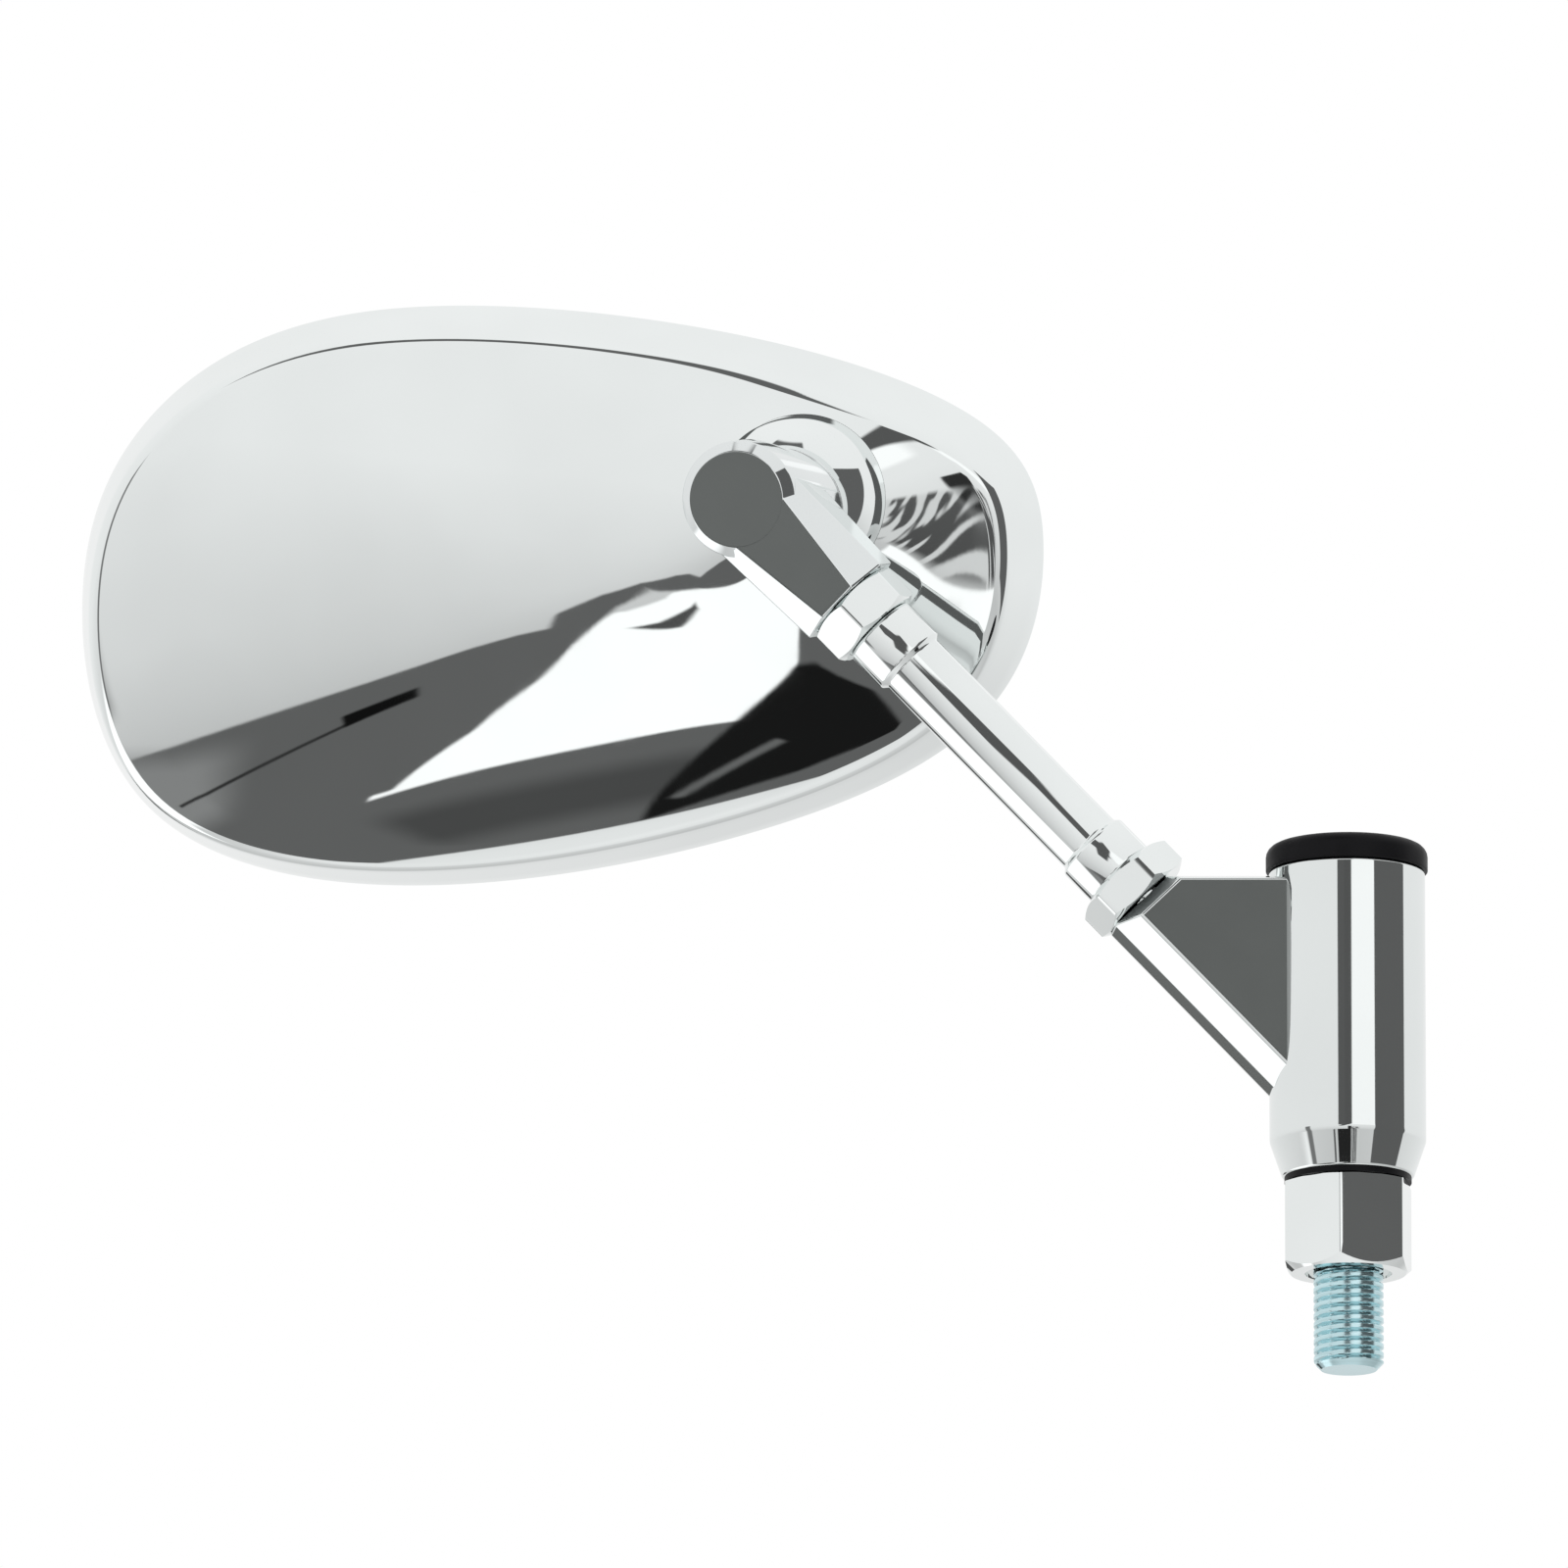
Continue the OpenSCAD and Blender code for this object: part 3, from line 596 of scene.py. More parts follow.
def turned_metal(name, rgb, rough, lines=(1, 1, 60)):
    """Machined metal with fine tool marks."""
    finish = Finish(name)
    finish.shader.inputs["Metallic"].default_value = 1.0
    marks = finish.noise(60.0, 3.0, lines)
    finish.colours(marks, shade(rgb, 0.9), shade(rgb, 1.08))
    finish.rough(marks, rough * 0.8, rough * 1.3)
    finish.bump(marks, 0.1)
    return finish.material


def moulded(name, rgb, rough, grain_scale, grain, sheen=0.0):
    """Moulded plastic, rubber or foam with its own grain."""
    finish = Finish(name)
    clouds = finish.noise(60.0, 3.0)
    finish.colours(clouds, shade(rgb, 0.85), shade(rgb, 1.2))
    finish.rough(finish.noise(220.0, 3.0), rough * 0.85, min(1.0, rough * 1.2))
    finish.bump(finish.noise(grain_scale, 4.0), grain)
    finish.shader.inputs["Sheen Weight"].default_value = sheen
    finish.shader.inputs["Specular IOR Level"].default_value = 0.1
    return finish.material


def silvered(name, rgb):
    """Silvered glass, clear and smooth."""
    finish = Finish(name)
    finish.shader.inputs["Metallic"].default_value = 1.0
    finish.shader.inputs["Coat Weight"].default_value = 0.6
    finish.shader.inputs["Coat Roughness"].default_value = 0.01
    finish.colours(finish.noise(30.0, 2.0), shade(rgb, 0.99), shade(rgb, 1.01))
    finish.rough(finish.noise(90.0, 3.0), 0.008, 0.022)
    return finish.material


def finishes():
    """The finishes by name, made once."""
    colours = bpy.context.scene.mirror_finish
    looks = {
        "chrome plate": (plated, colours.chrome, colours.chrome_polish),
        "housing chrome": (plated, colours.chrome, colours.chrome_polish * 0.7, 0.01),
        "cast chrome": (plated, colours.cast_chrome, colours.chrome_polish * 1.2, 0.015),
        "elbow chrome": (plated, colours.elbow_chrome, colours.chrome_polish * 1.4, 0.015),
        # Chrome darkened to a painted dark reflection, for the flats of the arm and the elbow
        "smoked chrome": (plated, colours.smoked, 0.34, 0.02, 0.96, 1.04),
        "machined face": (turned_metal, colours.machined, 0.4, (1, 1, 1)),
        "blue zinc": (turned_metal, colours.zinc, 0.17),
        "bright steel": (turned_metal, colours.steel, 0.25),
        "spring steel": (turned_metal, shade(colours.steel, 0.6), 0.35),
        "sintered bronze": (turned_metal, colours.bronze, 0.4, (1, 1, 1)),
        "natural nylon": (moulded, colours.nylon, 0.42, 300.0, 0.1),
        "black plastic": (moulded, colours.black, 0.42, 700.0, 0.18),
        "friction fibre": (moulded, colours.fibre, 0.85, 900.0, 0.5),
        "foam tape": (moulded, colours.foam, 0.9, 1400.0, 0.6),
        "gasket rubber": (moulded, colours.rubber, 0.6, 900.0, 0.25, 0.1),
        "silvered glass": (silvered, colours.glass),
    }
    for name, (maker, *values) in looks.items():
        if name not in bpy.data.materials:
            maker(name, *values)
    return bpy.data.materials


# Outline of the head
def head_outline(inset):
    """Points round the head's outline moved in by inset, in the plane of the head, from the ball."""
    head = bpy.context.scene.mirror_head
    shape = np.array(HEAD_SHAPE)
    n = len(shape)
    t = np.arange(OUTLINE_POINTS) * n / OUTLINE_POINTS
    k = np.floor(t).astype(int)
    f = (t - k)[:, None]
    weights = [(1 - f) ** 3, 3 * f**3 - 6 * f**2 + 4, -3 * f**3 + 3 * f**2 + 3 * f + 1, f**3]
    points = sum(w * shape[(k + d) % n] for w, d in zip(weights, (-1, 0, 1, 2))) / 6
    points = points * np.array([head.width / 2, head.height / 2])
    along = np.roll(points, -1, 0) - np.roll(points, 1, 0)
    inward = np.stack([-along[:, 1], along[:, 0]], 1) / np.linalg.norm(along, axis=1)[:, None]
    return points + inset * inward


def reach_about(points, centre, angles):
    """Distance from centre to the closed curve of points in each direction."""
    rel = points - np.array(centre)
    a = np.arctan2(rel[:, 1], rel[:, 0])
    r = np.linalg.norm(rel, axis=1)
    order = np.argsort(a)
    a, r = a[order], r[order]
    a = np.concatenate([a - 2 * math.pi, a, a + 2 * math.pi])
    r = np.concatenate([r, r, r])
    wrapped = (np.asarray(angles) + math.pi) % (2 * math.pi) - math.pi
    return np.interp(wrapped, a, r)


class HeadForm:
    """Radii and heights of the head about the ball, in directions round it"""

    def __init__(self, sides):
        self.head = bpy.context.scene.mirror_head
        self.middle = np.array([self.head.offset_x, self.head.offset_y])
        self.angles = np.arange(sides) * 2 * math.pi / sides
        self.crease = head_outline(self.head.flare)
        self.ways = np.stack([np.cos(self.angles), np.sin(self.angles)], 1)

    def reach(self, inset):
        """Distance from the ball to the outline moved in by inset, in each direction."""
        return reach_about(head_outline(inset + SKIN_GAP), self.middle, self.angles)

    def height(self, points):
        """Height of the back panel over points measured from the ball."""
        head = self.head
        from_middle = points + self.middle
        a = np.arctan2(from_middle[:, 1], from_middle[:, 0])
        q = np.linalg.norm(from_middle, axis=1) / reach_about(self.crease, (0, 0), a)
        near = (points**2).sum(1) / head.boss_radius**2
        return -head.crease_depth + head.rise * (1 - q * q) + head.swell * np.exp(-near)

    def flat(self, inset, z):
        """A level ring at height z, moved in from the outline."""
        p = self.ways * self.reach(inset)[:, None]
        return np.column_stack([p, np.full(len(p), z)])

    def over(self, reach, lower=0.0):
        """A ring on the back panel, or lower by the wall."""
        p = self.ways * reach[:, None]
        return np.column_stack([p, self.height(p) - lower])


# Operators that make the pieces
class MIRROR_OT_stud(bpy.types.Operator):
    """Threaded stud, with its thread cut as a helix"""

    bl_idname = "mirror.stud"
    bl_label = "Stud"

    def execute(self, context):
        base = context.scene.mirror_base
        low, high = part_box("pivot_stud")
        sides, step, end_step = 72, base.thread_pitch / 12, 0.3 * MM
        chamfer, relief_top, relief_depth = 1 * MM, 2.7 * MM, 0.65 * MM
        levels = [low.z, low.z + 0.02 * MM]
        z = low.z + end_step
        while z < high.z - end_step:
            levels.append(z)
            z += step
        levels += [high.z - 0.02 * MM, high.z]
        rings = []
        for z in levels:
            ring = []
            end = min(z - low.z, high.z - z)
            relief = end_step < z < relief_top
            for i in range(sides):
                a = 2 * math.pi * i / sides
                wave = abs((z / base.thread_pitch - a / (2 * math.pi)) % 1.0 * 2 - 1)
                r = base.stud_radius - base.thread_depth * min(1.0, max(0.0, (wave - 0.5) * 2.3))
                r = min(r, base.stud_radius - chamfer + end, base.stud_radius)
                if relief:
                    r = min(r, base.stud_radius - relief_depth)
                ring.append((r * math.cos(a), r * math.sin(a), z))
            rings.append(ring)
        stud = joined("threaded_stud", rings, None, 28.0, closed=False)
        settle(stud, "mount", "zinc_plate", "blue zinc", "pivot_stud")
        return {"FINISHED"}


class MIRROR_OT_hex(bpy.types.Operator):
    """Hex adapter with the pivot above it"""

    bl_idname = "mirror.hex"
    bl_label = "Hex Adapter"

    def execute(self, context):
        base = context.scene.mirror_base
        bore = base.stud_radius + THREAD_GAP
        place = Matrix.Rotation(base.hex_turn, 4, "Z")
        piece = hex_piece(
            "hex_adapter_plated", base.hex_flats, 0.0, base.hex_height, bore, place, 0.85, 0.25, 0.5 * MM
        )
        top = base.hex_height + base.spigot_height
        sunk = base.hex_height - 0.4 * MM
        pivot = turned("pivot_plated", [
            (bore, sunk, 0), (base.spigot_radius, sunk, 0),
            (base.spigot_radius, top), (bore, top),
        ], sides=96)
        recess = drill("recess", base.stud_radius + base.recess_width, -OVERRUN, base.recess_depth, sides=96)
        carve(piece, [("UNION", pivot), ("DIFFERENCE", recess)], 25.0)
        settle(piece, "mount", "chrome", "chrome plate", "hex_adapter")
        return {"FINISHED"}


class MIRROR_OT_arm(bpy.types.Operator):
    """Swivel body and its bevelled arm, one casting"""

    bl_idname = "mirror.arm"
    bl_label = "Arm"

    def outline(self, low_in, end_in, top_in):
        """Corners of the web as (x, z), moved in at its lower side, its end and its top."""
        base, arm = bpy.context.scene.mirror_base, bpy.context.scene.mirror_arm
        half, reach = arm.thickness / 2 - low_in, arm.reach - end_in
        top = base.body_top - arm.top_drop - top_in
        s, c = math.sin(arm.lean), math.cos(arm.lean)
        along, across, root = np.array([-s, c]), np.array([c, s]), np.array([0, arm.root])
        up = (top - arm.root - reach * c) / s
        return [root - half * across, root + reach * along - half * across,
                root + reach * along + up * across, np.array([0, top])]

    def execute(self, context):
        base, arm, stem = context.scene.mirror_base, context.scene.mirror_arm, context.scene.mirror_stem
        shaft_hole, wall_middle = base.stud_radius + 0.3 * MM, base.body_radius - 0.9 * MM
        body = turned("arm_plated", [
            (base.bush_radius, base.body_foot), (base.foot_radius, base.body_foot),
            (base.body_radius, base.body_foot + base.foot_taper + 0.6 * MM, 2.4 * MM),
            (base.body_radius, base.body_top), (base.chamber_radius, base.body_top, 0),
            (base.chamber_radius, base.chamber_floor), (shaft_hole, base.chamber_floor),
            (shaft_hole, base.bush_top), (base.bush_radius, base.bush_top),
        ], radius=base.edge, sides=192)
        points = []
        for depth, insets in (
            (arm.thickness / 2, (arm.bevel + arm.draft, END_BEVEL, 1.2 * MM)),
            (arm.thickness / 2 - arm.bevel, (arm.draft, 0, 0.3 * MM)),
            (PARTING, (0, 0, 0)),
        ):
            for x, z in self.outline(*insets):
                points += [(x, depth, z), (x, -depth, z)]
        web = hull_object("web", points)
        soften(web, arm.rounding, 12.0, 4)
        hollow = drill("hollow", wall_middle, -base.body_top, base.body_top * 2, sides=192)
        deepest, outside = arm.reach - stem.thread_length - 1 * MM, arm.reach + 20 * MM
        thread = drill("thread", stem.thread_radius + THREAD_GAP, deepest, outside, stem_place())
        carve(web, [("DIFFERENCE", hollow), ("DIFFERENCE", thread)])
        carve(body, [("UNION", web)])
        steady(body)
        settle(body, "arm", "chrome", "cast chrome", "arm_casting")
        self.face(body, arm)
        return {"FINISHED"}

    def face(self, body, arm):
        """The finishes of the arm's flats, its underside and its end; the flats and underside get chrome
        darkened by a painted dark reflection.
        """
        flat = arm.thickness / 2
        s, c = math.sin(arm.lean), math.cos(arm.lean)
        along, side, rise = Vector((-s, 0, c)), Vector((0, 1, 0)), END_BEVEL / arm.bevel
        drop, fall = Vector((-c, 0, -s)), arm.draft / (flat - arm.bevel - PARTING)
        unders = [(drop + side * k * fall).normalized() for k in (-1, 1)]
        keel = Vector((0, 0, arm.root)) + drop * flat
        heights = [flat, flat] + [(keel + side * k * PARTING).dot(under) for k, under in zip((-1, 1), unders)]
        # The arm's flats and underside get chrome with a painted dark reflection
        refinish(body, "smoked chrome", [-side, side] + unders, heights, 0.1 * MM)
        ends = [along] + [(along + side * k * rise).normalized() for k in (-1, 1)]
        tip = Vector((0, 0, arm.root)) + along * arm.reach
        shoulder = [tip + side * k * (flat - arm.bevel) for k in (-1, 1)]
        heights = [tip.dot(ends[0]), shoulder[0].dot(ends[1]), shoulder[1].dot(ends[2])]
        refinish(body, "machined face", ends, heights, 0.15 * MM)


class MIRROR_OT_cap(bpy.types.Operator):
    """Black end cap with its plug"""

    bl_idname = "mirror.cap"
    bl_label = "End Cap"

    def execute(self, context):
        base = context.scene.mirror_base
        z, r = base.body_top, base.cap_radius
        inner = base.chamber_radius - 1.6 * MM
        plug = base.chamber_radius - SEAT_GAP
        cap = turned("end_cap_moulded", [
            (0, z), (inner, z, 0.3 * MM), (inner, z - base.plug_depth), (plug, z - base.plug_depth),
            (plug, z, 0), (r, z, 0.25 * MM), (r, z + base.cap_height, base.cap_corner),
            (r * 0.45, z + base.cap_height, 0), (0, z + base.cap_height),
        ], closed=False, sides=160)
        settle(cap, "arm", "black_plastic", "black plastic", "end_cap")
        return {"FINISHED"}


def upper_thread(stem):
    """Length of the stem's thread in the elbow, where a wall keeps it from the ball's shank."""
    elbow, wall = stem.stem_length - stem.elbow_length, 2 * MM
    return min(stem.thread_length, stem.stem_length - stem.foot_shift - elbow - stem.shank_radius - wall)


class MIRROR_OT_stem(bpy.types.Operator):
    """Stem with its two swollen ends and its threads"""

    bl_idname = "mirror.stem"
    bl_label = "Stem"

    def execute(self, context):
        arm, stem = context.scene.mirror_arm, context.scene.mirror_stem
        t, f = stem.thread_radius, stem.ferrule_radius
        nut_top = arm.reach + stem.lower_height
        shaft = nut_top + stem.lower_ferrule
        elbow = stem.stem_length - stem.elbow_length
        upper_nut = elbow - stem.upper_height
        upper = upper_nut - stem.upper_ferrule
        start, end = arm.reach - stem.thread_length, elbow + upper_thread(stem)
        chamfer = 0.8 * MM
        rod = turned("stem_plated", [
            (0, start), (t - chamfer, start, 0), (t, start + chamfer, 0.2 * MM), (t, nut_top, 0),
            (f, nut_top, 0.6 * MM), (f, shaft - 0.6 * MM, 0.5 * MM), (stem.radius, shaft, 0.5 * MM),
            (stem.radius, upper, 0.5 * MM), (f, upper + 0.6 * MM, 0.5 * MM), (f, upper_nut, 0.6 * MM),
            (t, upper_nut, 0), (t, end - chamfer, 0.2 * MM), (t - chamfer, end, 0), (0, end),
        ], stem_place(), closed=False, sides=160)
        settle(rod, "stem", "chrome", "chrome plate", "stem")
        return {"FINISHED"}


class MIRROR_OT_ring_nuts(bpy.types.Operator):
    """The two hexagon rings at the stem's ends"""

    bl_idname = "mirror.ring_nuts"
    bl_label = "Ring Nuts"

    def execute(self, context):
        arm, stem = context.scene.mirror_arm, context.scene.mirror_stem
        bore = stem.thread_radius + THREAD_GAP
        elbow = stem.stem_length - stem.elbow_length
        for name, node, flats, low, height, degrees in (
            ("lower_ring_plated", "lower_ring_nut", stem.lower_flats, arm.reach, stem.lower_height, 10),
            ("upper_ring_plated", "upper_ring_nut", stem.upper_flats, elbow - stem.upper_height,
             stem.upper_height, 30),
        ):
            place = stem_place() @ Matrix.Rotation(math.radians(degrees), 4, "Z")
            ring = hex_piece(name, flats, low, low + height, bore, place, 0.6, 0.6, 0.4 * MM)
            settle(ring, "stem", "chrome", "chrome plate", node)
        return {"FINISHED"}


class MIRROR_OT_elbow(bpy.types.Operator):
    """Cast elbow with its bevelled bar, round end and cupped foot"""

    bl_idname = "mirror.elbow"
    bl_label = "Elbow"

    def section(self, w, t, bevel, z, soft):
        """A bevelled section of the bar, from half its width and half its depth."""
        corners = [
            (w - bevel, t), (w, t - bevel), (w, bevel - t), (w - bevel, -t),
            (bevel - w, -t), (-w, bevel - t), (-w, t - bevel), (bevel - w, t),
        ]
        return [(x, y, z) for x, y in rounded(corners, soft, 4, True)]

    def execute(self, context):
        stem = context.scene.mirror_stem
        along, foot = stem_place(), elbow_place()
        front, soft = stem.elbow_flats / 2, stem.rounding
        bevel = stem.elbow_flat / 4
        low = stem.stem_length - stem.elbow_length
        high = stem.stem_length - stem.elbow_radius * 0.36
        corner = stem.elbow_flats / math.cos(math.pi / 8) / 2
        eighths = [math.pi / 8 + k * math.pi / 4 for k in range(8)]
        octagon = [(corner * math.cos(a), corner * math.sin(a)) for a in eighths]
        points = []
        for shrink, z in (
            (soft, low), (soft * 0.3, low + soft * 0.3), (0.0, low + soft), (0.0, low + 1 * MM),
        ):
            scale = (corner - shrink) / corner
            points += [(x * scale, y * scale, z) for x, y in rounded(octagon, soft * 2.2, 4, True)]
        half_w = stem.elbow_flat / 2 + bevel
        for z in (high, high + 1 * MM):
            points += self.section(half_w, front - 0.04 * MM, bevel, z, soft * 2.2)
        bar = hull_object("elbow_plated", points, along)

        turn_up = along @ Matrix.Translation((0, 0, stem.stem_length)) @ Matrix.Rotation(math.pi / 2, 4, "X")
        sides = 144
        r, cut = stem.elbow_radius, stem.elbow_bevel
        edge = rounded([(0, front), (r - cut, front), (r, front - cut), (r, 0)], soft * 1.6, 4)[1:]
        mouth = stem.ball_drop - stem.cup_radius
        neck = stem.foot_radius - 0.2 * MM
        points = [turn_up @ Vector(p) for radius, z in edge for p in circle(radius, z, sides)]
        for radius, z in ((neck, -mouth), (neck, 0.7 * MM - mouth), (neck - 0.3 * MM, 1.0 * MM - mouth)):
            points += [foot @ Vector(p) for p in circle(radius, z, sides)]
        round_end = hull_object("round_end", points)
        rim = math.sqrt(stem.cup_radius**2 - (stem.foot_radius - 0.6 * MM) ** 2) - stem.ball_drop
        collar = turned("collar", [
            (0, rim), (stem.foot_radius, rim, 0.2 * MM), (stem.foot_radius, 0.4 * MM - mouth, 0.15 * MM),
            (0, 0.4 * MM - mouth),
        ], foot, closed=False, sides=sides)
        cup = turned("cup", [
            (stem.cup_radius * math.sin(math.pi * k / 48), -stem.cup_radius * math.cos(math.pi * k / 48), 0)
            for k in range(49)
        ], foot @ Matrix.Translation((0, 0, -stem.ball_drop)), closed=False, sides=sides)
        shank = drill("shank", stem.shank_radius, -mouth - 4 * MM, -2 * MM, foot)
        bore_end = low + upper_thread(stem) + SEAT_GAP
        bore = drill("bore", stem.thread_radius + THREAD_GAP, low - OVERRUN, bore_end, along)
        carve(bar, [
            ("UNION", round_end), ("UNION", collar), ("DIFFERENCE", cup), ("DIFFERENCE", shank),
            ("DIFFERENCE", bore),
        ], 28.0)
        steady(bar)
        settle(bar, "stem", "chrome", "elbow chrome", "elbow_casting")
        way = (along.to_3x3() @ Vector((0, -1, 0))).normalized()
        height = along.translation.dot(way) + front
        # The elbow's front flat gets chrome with a painted dark reflection
        refinish(bar, "smoked chrome", [way], [height], 0.12 * MM, 0.93)
        return {"FINISHED"}


class MIRROR_OT_housing(bpy.types.Operator):
    """Domed housing with its crease, flared wall and rolled rim"""

    bl_idname = "mirror.housing"
    bl_label = "Housing"

    def execute(self, context):
        head = context.scene.mirror_head
        form = HeadForm(480)
        hole = head.boss_tube + SEAT_GAP
        wall, rim = head.wall, -head.rim_depth
        crease = form.reach(head.flare)
        inner = form.reach(head.flare + wall)
        soft, lip = head.crease_round, head.rim_round
        corner = form.flat(head.flare, -head.crease_depth)
        steps = [
            0, 0.012, 0.03, 0.06, 0.1, 0.15, 0.21, 0.28, 0.36, 0.44, 0.52, 0.6, 0.68, 0.76, 0.83, 0.89, 0.94,
        ]
        near = crease - soft
        rings = [form.over(hole + (near - hole) * s) for s in steps]
        start = form.over(near)
        wall_way = form.flat(0, rim) - corner
        wall_way /= np.linalg.norm(wall_way, axis=1)[:, None]
        end = corner + wall_way * soft
        rings += bend(start, corner, end, 9)
        rings += [end + (form.flat(0, rim) - wall_way * lip - end) * s for s in (0.2, 0.45, 0.7)]
        outer, inside = form.flat(0, rim), form.flat(wall, rim)
        across = inside - outer
        across /= np.linalg.norm(across, axis=1)[:, None]
        rings += bend(outer - wall_way * lip, outer, outer + across * lip, 5)
        rings += bend(inside - across * lip, inside, inside - wall_way * lip, 5)
        rings.append(form.flat(head.flare + wall, -head.crease_depth - wall))
        rings += [form.over(hole + (inner - hole) * s, wall) for s in (0.93, 0.8, 0.6, 0.4, 0.2, 0.05, 0)]
        shell = joined("housing_plated", rings, head_place(), 38.0)
        settle(shell, "head", "chromed_shell", "housing chrome", "housing_shell")
        return {"FINISHED"}


class MIRROR_OT_boss(bpy.types.Operator):
    """Domed boss that holds the ball in the head"""

    bl_idname = "mirror.boss"
    bl_label = "Pivot Boss"

    def execute(self, context):
        head = context.scene.mirror_head
        r, tube, bore, end = head.boss_radius, head.boss_tube, head.boss_bore, -head.boss_end

        def arc(radius, start, stop):
            return [(radius * math.sin(a), radius * math.cos(a), 0) for a in np.linspace(start, stop, 18)]

        mouth_out, mouth_in = math.asin(head.boss_mouth / r), math.asin(head.boss_mouth / bore)
        profile = arc(r, mouth_out, math.asin(tube / r))
        profile[0] = (*profile[0][:2], 0.3 * MM)
        profile += [
            (tube, 0, 0), (tube, end + 1.4 * MM, 0.2 * MM), (tube + 1.5 * MM, end + 1.4 * MM),
            (tube + 1.5 * MM, end), (bore, end, 0.2 * MM), (bore, 0, 0),
        ]
        profile += arc(bore, math.pi / 2 - 0.05, mouth_in)
        boss = turned("pivot_boss_plated", profile, head_place(), radius=0.2 * MM, sides=192)
        settle(boss, "head", "chrome", "chrome plate", "pivot_boss")
        return {"FINISHED"}


class MIRROR_OT_glass(bpy.types.Operator):
    """Convex mirror glass with a ground edge, and the rubber gasket round it"""

    bl_idname = "mirror.glass"
    bl_label = "Glass and Gasket"

    def execute(self, context):
        head = context.scene.mirror_head
        form = HeadForm(360)
        middle = -np.array([head.offset_x, head.offset_y])
        big = head.glass_radius

        def dome(reach, drop):
            """A ring on the glass's face, or below it by drop."""
            p = form.ways * reach[:, None]
            gap = ((p - middle) ** 2).sum(1)
            return np.column_stack([p, big - head.rim_depth - np.sqrt((big - drop) ** 2 - gap)])

        edge, ground, thick = form.reach(head.glass_inset + SEAT_GAP), 0.3 * MM, head.glass_thickness
        rings = [dome(edge * s, 0) for s in (0.04, 0.15, 0.3, 0.45, 0.6, 0.75, 0.88, 0.96)]
        rings += [dome(edge - pull, drop) for pull, drop in (
            (ground, 0), (0.08 * MM, 0.08 * MM), (0, ground), (0, thick - ground), (ground, thick),
        )]
        rings += [dome(edge * s, thick) for s in (0.96, 0.75, 0.5, 0.25, 0.04)]
        glass = joined("mirror_glass_silvered", rings, head_place(), 30.0, closed=False)
        settle(glass, "head", "mirror_glass", "silvered glass", "mirror_glass")

        out, rim = head.wall + SEAT_GAP, -head.rim_depth
        lip_in, groove = head.glass_inset + head.lip - 0.1 * MM, head.glass_inset - SEAT_GAP
        soft, low, back = 0.35 * MM, rim + SEAT_GAP, rim + head.stack
        on_glass = dome(form.reach(lip_in), -SEAT_GAP)
        crown = np.minimum(on_glass[:, 2] - 0.25 * MM, rim + 0.3 * MM)
        rings = [
            form.flat(out + head.stack_taper, back),
            form.flat(out + head.stack_taper * 0.5, (rim + back) / 2),
            form.flat(out, rim + soft), form.flat(out + 0.1 * MM, rim + 0.1 * MM), form.flat(out + soft, low),
            form.flat((out + lip_in) / 2, low),
        ]
        for t, drop in ((0.55, 0.1), (0.3, 0.25), (0.12, 0.5), (0.0, 0.8)):
            ring = form.flat(lip_in - soft * 2 * t, rim + 0.05 * MM)
            ring[:, 2] = rim + 0.03 * MM + (crown - rim) * drop
            rings.append(ring)
        rings += [on_glass, dome(form.reach(groove), -SEAT_GAP), form.flat(groove, back)]
        gasket = joined("rim_gasket_rubber", rings, head_place(), 40.0)
        settle(gasket, "head", "black_rubber", "gasket rubber", "rim_gasket")
        return {"FINISHED"}


class MIRROR_OT_inner_finishes(bpy.types.Operator):
    """Finishes of the solids that show as they are"""

    bl_idname = "mirror.inner_finishes"
    bl_label = "Inner Finishes"

    SOLIDS = {
        "bright steel": (
            "lower_spring_washer", "upper_spring_washer", "lock_nut", "ball_stud", "pressure_ring",
        ),
        "spring steel": ("tension_spring", "disc_spring", "retaining_ring"),
        "sintered bronze": ("swivel_bush",),
        "black plastic": ("sliding_washer", "carrier_plate"),
        "friction fibre": ("friction_disc",),
        "natural nylon": ("front_ball_seat", "rear_ball_seat"),
        "foam tape": ("foam_tape",),
    }

    def execute(self, context):
        made = finishes()
        for name, nodes in self.SOLIDS.items():
            for node in nodes:
                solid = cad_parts[node]
                solid.data.materials.clear()
                solid.data.materials.append(made[name])
        return {"FINISHED"}


